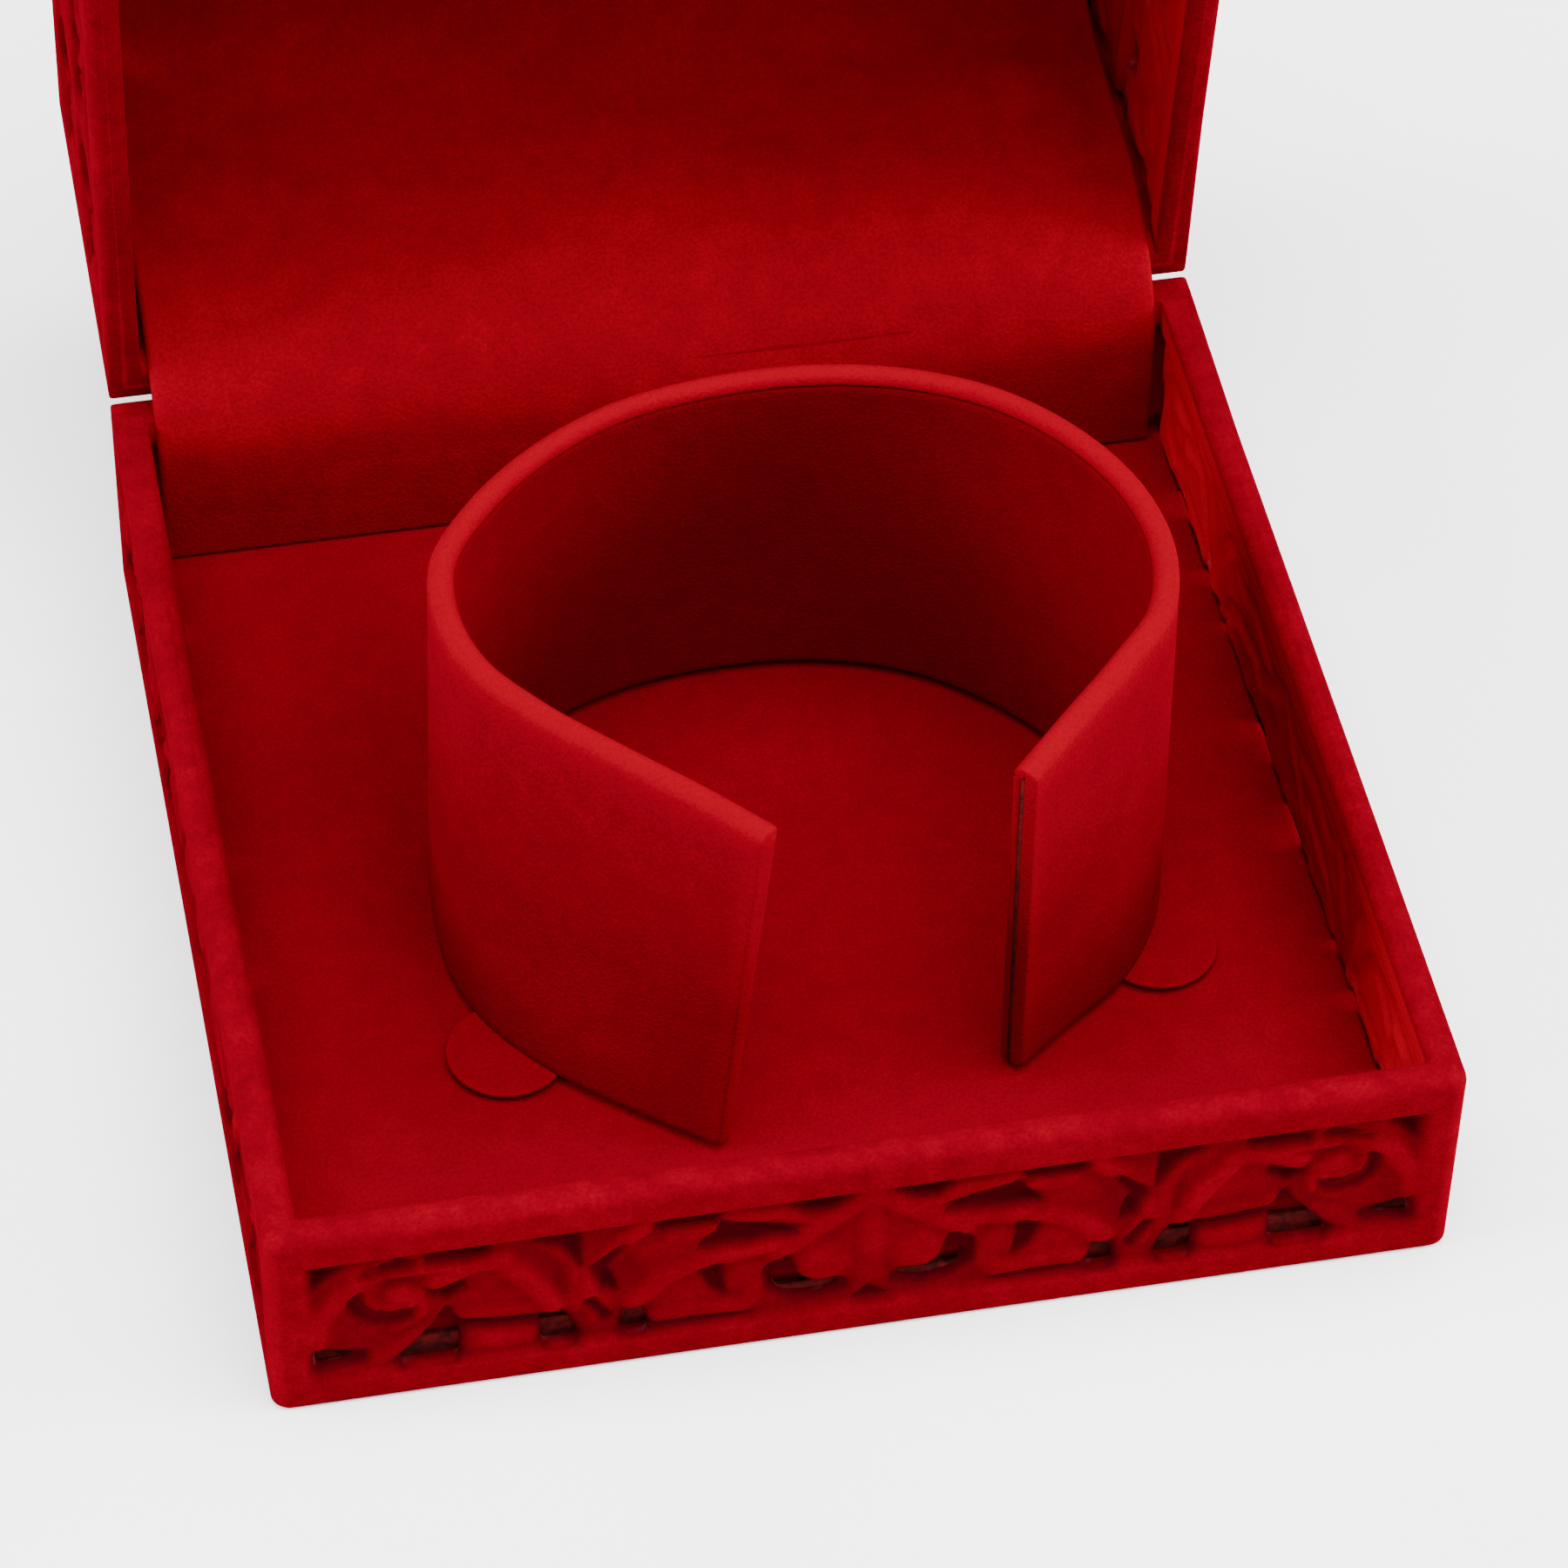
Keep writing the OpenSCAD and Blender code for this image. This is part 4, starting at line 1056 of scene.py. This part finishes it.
def round_tab(name, x, y):
    """A round tab: a profile from the middle of its top out over an eased edge, in under the
    lip and down to the middle of its underside, turned once about its upright axis."""
    cloth = bpy.context.scene.bangle_box_cloth
    radius, thick, ease = cloth.tab_radius, cloth.tab_thickness, 0.18 * MM
    foot, lip = radius - 0.7 * MM, thick - 0.4 * MM
    around = 96
    a = np.linspace(0, np.pi / 2, 7)[1:]
    out = np.linspace(0, radius - ease, 13)[1:]
    r = np.concatenate([out, radius - ease + ease * np.sin(a), radius - ease + ease * np.cos(a),
                        np.linspace(radius - 0.3 * MM, foot, 4), [foot],
                        np.linspace(foot, 0, 10)[1:-1]])
    z = np.concatenate([np.full(len(out), thick), thick - ease + ease * np.cos(a),
                        lip + ease - ease * np.sin(a), np.linspace(lip, 0.35 * lip, 4), [0.0],
                        np.zeros(8)])
    turn = np.linspace(0, 2 * np.pi, around, endpoint=False)
    grid = np.stack([x + r[:, None] * np.cos(turn), y + r[:, None] * np.sin(turn),
                     np.repeat(z[:, None], around, 1) + cloth.pad_top], -1).reshape(-1, 3)
    poles = np.array([[x, y, cloth.pad_top + thick], [x, y, cloth.pad_top]])
    last, n = (len(r) - 1) * around, len(grid)
    c = np.arange(around)
    after = (c + 1) % around
    tris = np.concatenate([np.stack([np.full(around, n), after, c], 1),
                           np.stack([np.full(around, n + 1), last + c, last + after], 1)])
    # The rim is lighter: opened pile and painted highlight
    wear_and_painted_highlight = 0.15 * np.exp(-((radius - r) / (0.4 * MM)) ** 2)
    return make_piece(name, np.concatenate([grid, poles]),
                      grid_quads(len(r), around, closed_cols=True), tris,
                      {"wear_and_painted_highlight": np.append(np.repeat(wear_and_painted_highlight, around), [0, 0])}, finish="velvet")


# ---------------------------------------------------------------- settings

def span(node, axis):
    """Length of a CAD node along an axis."""
    low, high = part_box(node)
    return high[axis] - low[axis]


def length_property(label, text, value):
    """A length in metres with its label and default."""
    return bpy.props.FloatProperty(name=label, description=text, default=value, min=0.0,
                                   unit="LENGTH", subtype="DISTANCE", precision=5)


def colour_property(label, text, value):
    """An sRGB colour as a hex code."""
    return bpy.props.StringProperty(name=label, description=text, default=value)


class BangleBoxSizes(bpy.types.PropertyGroup):
    """Sizes of the tray, lid and hinges."""

    side: length_property("Side", "Width and depth of the box", span("base_front_wall", 0))
    tray_height: length_property("Tray height", "Height of the tray", span("base_front_wall", 2))
    lid_height: length_property("Lid height", "Height of the lid", 34.5 * MM)
    lid_gap: length_property("Lid gap", "Gap between the closed rims", 0.3 * MM)
    open_angle: bpy.props.FloatProperty(
        name="Open angle", description="Swing of the lid from closed to open",
        default=float(np.radians(frame["joints"][0]["range_deg"][1])), unit="ROTATION",
        subtype="ANGLE")
    rim_thickness: length_property("Rim thickness", "Walls at their mating rim", 2.8 * MM)
    panel_thickness: length_property("Panel thickness", "Walls beside the pad", 1.6 * MM)
    roof_thickness: length_property("Roof thickness", "Thickness of the lid's roof", 1.6 * MM)
    corner_radius: length_property("Corner radius", "Upright corners at the front", 1.4 * MM)
    pad_clear: length_property("Pad clearance", "Height of the thin foot of a wall", 5.0 * MM)
    mesh_step: length_property("Mesh step", "Grid spacing of the openwork", 0.33 * MM)
    knuckle_radius: length_property("Knuckle radius", "Outside of the knuckles", 1.4 * MM)
    notch_radius: length_property("Notch radius", "Cleared for the other knuckles", 1.7 * MM)
    pin_radius: length_property("Pin radius", "Radius of the hinge pins", 0.6 * MM)
    hinge_x: length_property("Hinge place", "Each hinge's distance from the middle", 28.0 * MM)


class BangleBoxCloth(bpy.types.PropertyGroup):
    """Sizes of the velvet pieces."""

    pad_half: length_property("Pad half side", "Half of the pad's width",
                              span("floor_velvet", 0) / 2)
    pad_top: length_property("Pad top", "Height of the pad's top",
                             float(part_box("floor_velvet")[1][2]))
    pad_short: length_property("Pad short", "How much less deep than wide it is", 0.9 * MM)
    pad_thickness: length_property("Pad thickness", "Thickness of the pad",
                                   span("floor_velvet", 2))
    lining_width: length_property("Lining width", "Width of the sheet", span("lining_lower", 0))
    lining_thickness: length_property("Lining thickness", "Thickness of the sheet", 1.0 * MM)
    collar_height: length_property("Collar height", "Height of the collar",
                                   span("collar_outer_velvet", 2))
    collar_foot: length_property("Collar foot", "Height of the collar's foot",
                                 float(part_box("collar_core")[0][2]))
    collar_thickness: length_property("Collar thickness", "Board and facings", 2.1 * MM)
    facing_thickness: length_property("Facing thickness", "Each velvet facing", 0.7 * MM)
    tab_radius: length_property("Tab radius", "Radius of the round tabs",
                                span("collar_tab_left", 0) / 2)
    tab_thickness: length_property("Tab thickness", "Thickness of the round tabs",
                                   span("collar_tab_left", 2))


class BangleBoxColours(bpy.types.PropertyGroup):
    """sRGB colours of the finishes."""

    flock: colour_property("Flock", "Flocked moulding", "#5b000b")
    # Also the painted shade in recesses
    flock_deep: colour_property("Flock, deep", "Between the flock's fibres", "#2c0005")
    # Also the painted highlight on edges, relief crests and the walls' inner faces
    flock_tips_and_painted_highlight: colour_property("Flock, tips", "Opened pile along edges", "#7a0010")
    velvet: colour_property("Velvet", "Pad and collar", "#5b000b")
    # Also the painted shade along the pad's front edge
    velvet_deep: colour_property("Velvet, deep", "Between the velvet's fibres", "#440008")
    # Also the painted highlight on the collar's top edge and tips, the tabs' rims and the lining's
    # edges
    velvet_tips_and_painted_highlight: colour_property("Velvet, tips", "Opened pile along the velvet's edges", "#65000c")
    lining: colour_property("Lining", "Lining sheet", "#68000c")
    card: colour_property("Board", "Board core and backing", "#4a080a")
    card_deep: colour_property("Board, deep", "Dark fibres in the board", "#1e0304")
    steel: colour_property("Steel", "Hinge pins", "#c9ccd0")
    floor: colour_property("Floor", "Floor under the box", "#f6f5f7")


# ---------------------------------------------------------------- operators

class BANGLEBOX_OT_tray_walls(bpy.types.Operator):
    """Build the tray's four openwork walls"""

    bl_idname = "bangle_box.tray_walls"
    bl_label = "Tray Walls"

    def execute(self, context):
        height = context.scene.bangle_box_sizes.tray_height
        for side, node in enumerate(TRAY_WALLS):
            notches = along_hinges(TRAY_NOTCHES) if "back" in node else []
            name = "tray_" + node.split("_")[1] + "_openwork"
            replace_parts(openwork_wall(name, height, side, notches, lid=False), node)
        return {"FINISHED"}


class BANGLEBOX_OT_lid_walls(bpy.types.Operator):
    """Build the lid's four openwork walls"""

    bl_idname = "bangle_box.lid_walls"
    bl_label = "Lid Walls"

    def execute(self, context):
        height = context.scene.bangle_box_sizes.lid_height
        for side, node in enumerate(LID_WALLS):
            notches = along_hinges(LID_NOTCHES) if "back" in node else []
            name = "lid_" + node.split("_")[1] + "_openwork"
            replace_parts(openwork_wall(name, height, side, notches, lid=True), node)
        return {"FINISHED"}


class BANGLEBOX_OT_lid_roof(bpy.types.Operator):
    """Build the lid's openwork roof"""

    bl_idname = "bangle_box.lid_roof"
    bl_label = "Lid Roof"

    def execute(self, context):
        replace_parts(openwork_roof("lid_roof_openwork"), "lid_roof")
        return {"FINISHED"}


class BANGLEBOX_OT_hinges(bpy.types.Operator):
    """Build the hinges' knuckles and finish their pins"""

    bl_idname = "bangle_box.hinges"
    bl_label = "Hinges"

    def execute(self, context):
        tray = knuckles("tray_hinge_knuckles", along_hinges(TRAY_KNUCKLES), "base")
        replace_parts(tray, "base_back_wall")
        lid = knuckles("lid_hinge_knuckles", along_hinges(LID_KNUCKLES), "lid")
        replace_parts(lid, "lid_back_wall")
        dress("steel", "hinge_pin_left", "hinge_pin_right")
        return {"FINISHED"}


class BANGLEBOX_OT_floor(bpy.types.Operator):
    """Build the velvet pad and finish the floor under it"""

    bl_idname = "bangle_box.floor"
    bl_label = "Tray Floor"

    def execute(self, context):
        cloth = context.scene.bangle_box_cloth
        half, thick, short = cloth.pad_half, cloth.pad_thickness, cloth.pad_short
        pad = flat_velvet("floor_velvet_pad", half, cloth.pad_top - thick / 2, thick, 0.04 * MM,
                          short)
        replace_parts(pad, "floor_velvet")
        dress("card", "floor_card")
        dress("flock", "base_floor")
        return {"FINISHED"}


class BANGLEBOX_OT_lining(bpy.types.Operator):
    """Build the lining sheet over the hinge"""

    bl_idname = "bangle_box.lining"
    bl_label = "Lining Sheet"

    def execute(self, context):
        lining("lining_sheet")
        return {"FINISHED"}


class BANGLEBOX_OT_ceiling(bpy.types.Operator):
    """Finish the board under the lid's roof"""

    bl_idname = "bangle_box.ceiling"
    bl_label = "Lid Ceiling Board"

    def execute(self, context):
        dress("card", "lid_ceiling_card")
        return {"FINISHED"}


class BANGLEBOX_OT_collar(bpy.types.Operator):
    """Build the collar's facings, board core and round tabs"""

    bl_idname = "bangle_box.collar"
    bl_label = "Collar"

    def execute(self, context):
        cloth = context.scene.bangle_box_cloth
        h, t, skin = cloth.collar_height, cloth.collar_thickness, cloth.facing_thickness
        glue, seam = 0.02 * MM, 0.03 * MM
        offset, rise = outer_facing(cloth)
        back = np.arange(len(offset)) >= len(offset) // 2
        folded = np.where(back, t, offset), np.where(back, np.minimum(rise, h - t / 2), rise)
        # The outer facing lightens towards its top edge: opened pile and painted highlight
        outer, length = collar_band("collar_outer_facing", (offset, rise), "velvet",
                                    lambda z: 0.6 * np.exp(-((h - z) / (2.4 * MM)) ** 2),
                                    folded=folded)
        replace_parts(outer, "collar_outer_velvet")
        inner, _ = collar_band("collar_inner_facing", flat_facing(t - skin, t, h - t / 2 - seam),
                               "velvet", insets=(0.95 * MM, 0.0))
        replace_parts(inner, "collar_inner_velvet")
        section = flat_facing(skin + glue, t - skin - glue, h - skin - 0.35 * MM)
        board, _ = collar_band("collar_board", section, "card", insets=(1.4 * MM, 0.12 * MM))
        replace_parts(board, "collar_core")
        for side, x, y in COLLAR_TABS:
            tab = round_tab("collar_round_tab_" + side, x * MM, y * MM)
            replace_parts(tab, "collar_tab_" + side)
        return {"FINISHED"}


class BANGLEBOX_OT_stage(bpy.types.Operator):
    """Build the floor, soft studio light and camera"""

    bl_idname = "bangle_box.stage"
    bl_label = "Stage"

    def execute(self, context):
        stage_floor()
        studio_light()
        camera()
        return {"FINISHED"}


def dress(finish, *nodes):
    """CAD nodes given a finish."""
    for name in nodes:
        mesh = frame["nodes"][name].data
        mesh.materials.clear()
        mesh.materials.append(finish_of(finish))


def stage_floor():
    """A flat floor 4 m square, just under the box."""
    count, under = 9, 0.03 * MM
    line = np.linspace(-2.0, 2.0, count)
    x, y = np.meshgrid(line, line)
    points = np.stack([x, y, np.full(x.shape, -under)], -1).reshape(-1, 3)
    mesh = bpy.data.meshes.new("floor")
    mesh.from_pydata(points.tolist(), [], grid_quads(count, count).tolist())
    mesh.materials.append(finish_of("floor"))
    floor = bpy.data.objects.new("floor", mesh)
    bpy.context.collection.objects.link(floor)


def area_light(name, place, target, size, power, tint):
    """A square soft light at place that faces target."""
    light = bpy.data.lights.new(name, "AREA")
    light.shape, light.size, light.energy, light.color = "SQUARE", size, power, tint
    obj = bpy.data.objects.new(name, light)
    back = np.array(place, float) - np.array(target, float)
    back /= np.linalg.norm(back)
    right = np.cross((0, 0, 1), back)
    right /= np.linalg.norm(right)
    up = np.cross(back, right)
    matrix = np.eye(4)
    matrix[:3] = np.stack([right, up, back, place], 1)
    obj.matrix_world = Matrix(matrix.tolist())
    bpy.context.collection.objects.link(obj)


def studio_light():
    """A large soft key overhead and a little in front, a weaker one at each side, and an even
    fill."""
    area_light("top softbox", (0.1, -0.3, 1.35), (0, 0, 0.02), 1.5, 95.0, (1.0, 0.99, 0.98))
    area_light("right softbox", (1.2, -0.25, 0.5), (0, 0, 0.03), 0.6, 34.0, (1.0, 0.99, 0.98))
    area_light("left softbox", (-1.2, 0.0, 0.7), (0, 0, 0.03), 0.6, 38.0, (0.98, 0.99, 1.0))
    world = bpy.data.worlds.new("studio fill")
    world.use_nodes = True
    tree = world.node_tree
    tree.nodes.clear()
    background = add_node(tree, "ShaderNodeBackground", {"Color": linear("#fbfcff")}, Strength=0.8)
    add_node(tree, "ShaderNodeOutputWorld", {"Surface": background.outputs[0]})
    bpy.context.scene.world = world


def camera():
    """The camera: 146 mm lens from the front left, looking down at 46 degrees, and turned a
    degree about its view."""
    data = bpy.data.cameras.new("camera")
    data.lens, data.sensor_width, data.sensor_fit = 146.35, 36.0, "HORIZONTAL"
    data.clip_start, data.clip_end = 0.01, 20.0
    obj = bpy.data.objects.new("camera", data)
    right = np.array((0.9810, -0.1931, 0.0186))
    forward = np.array((0.1462, 0.6728, -0.7252))
    forward /= np.linalg.norm(forward)
    right -= forward * (right @ forward)
    right /= np.linalg.norm(right)
    matrix = np.eye(4)
    matrix[:3, 0], matrix[:3, 1], matrix[:3, 2] = right, np.cross(right, forward), -forward
    matrix[:3, 3] = (-0.0725, -0.3438, 0.3831)
    obj.matrix_world = Matrix(matrix.tolist())
    bpy.context.collection.objects.link(obj)
    bpy.context.scene.camera = obj


OPERATORS = (BANGLEBOX_OT_stage, BANGLEBOX_OT_tray_walls, BANGLEBOX_OT_lid_walls,
             BANGLEBOX_OT_lid_roof, BANGLEBOX_OT_hinges, BANGLEBOX_OT_floor, BANGLEBOX_OT_ceiling,
             BANGLEBOX_OT_lining, BANGLEBOX_OT_collar)


class BANGLEBOX_PT_pieces(bpy.types.Panel):
    """Lists the box's pieces and their settings"""

    bl_idname = "BANGLEBOX_PT_pieces"
    bl_label = "Bangle Box"
    bl_space_type = "VIEW_3D"
    bl_region_type = "UI"
    bl_category = "Bangle Box"

    def draw(self, context):
        """A button for each operator, then each group's settings in a column."""
        for operator in OPERATORS:
            self.layout.operator(operator.bl_idname)
        for group in GROUPS:
            column = self.layout.column()
            settings = getattr(context.scene, group)
            for name in settings.bl_rna.properties.keys():
                if name not in ("rna_type", "name"):
                    column.prop(settings, name)


GROUPS = {"bangle_box_sizes": BangleBoxSizes, "bangle_box_cloth": BangleBoxCloth,
          "bangle_box_colours": BangleBoxColours}
CLASSES = (*GROUPS.values(), *OPERATORS, BANGLEBOX_PT_pieces)


def register():
    """Make the settings, operators and panel known, and give each scene the settings."""
    for item in CLASSES:
        bpy.utils.register_class(item)
    for name, group in GROUPS.items():
        setattr(bpy.types.Scene, name, bpy.props.PointerProperty(type=group))


def unregister():
    """Take away what register added, in reverse order."""
    for name in GROUPS:
        delattr(bpy.types.Scene, name)
    for item in reversed(CLASSES):
        bpy.utils.unregister_class(item)


def main():
    """Build the stage and every piece."""
    register()
    bpy.ops.bangle_box.stage()
    bpy.ops.bangle_box.tray_walls()
    bpy.ops.bangle_box.lid_walls()
    bpy.ops.bangle_box.lid_roof()
    bpy.ops.bangle_box.hinges()
    bpy.ops.bangle_box.floor()
    bpy.ops.bangle_box.ceiling()
    bpy.ops.bangle_box.lining()
    bpy.ops.bangle_box.collar()
    bpy.context.view_layer.update()


if __name__ == "__main__":
    main()
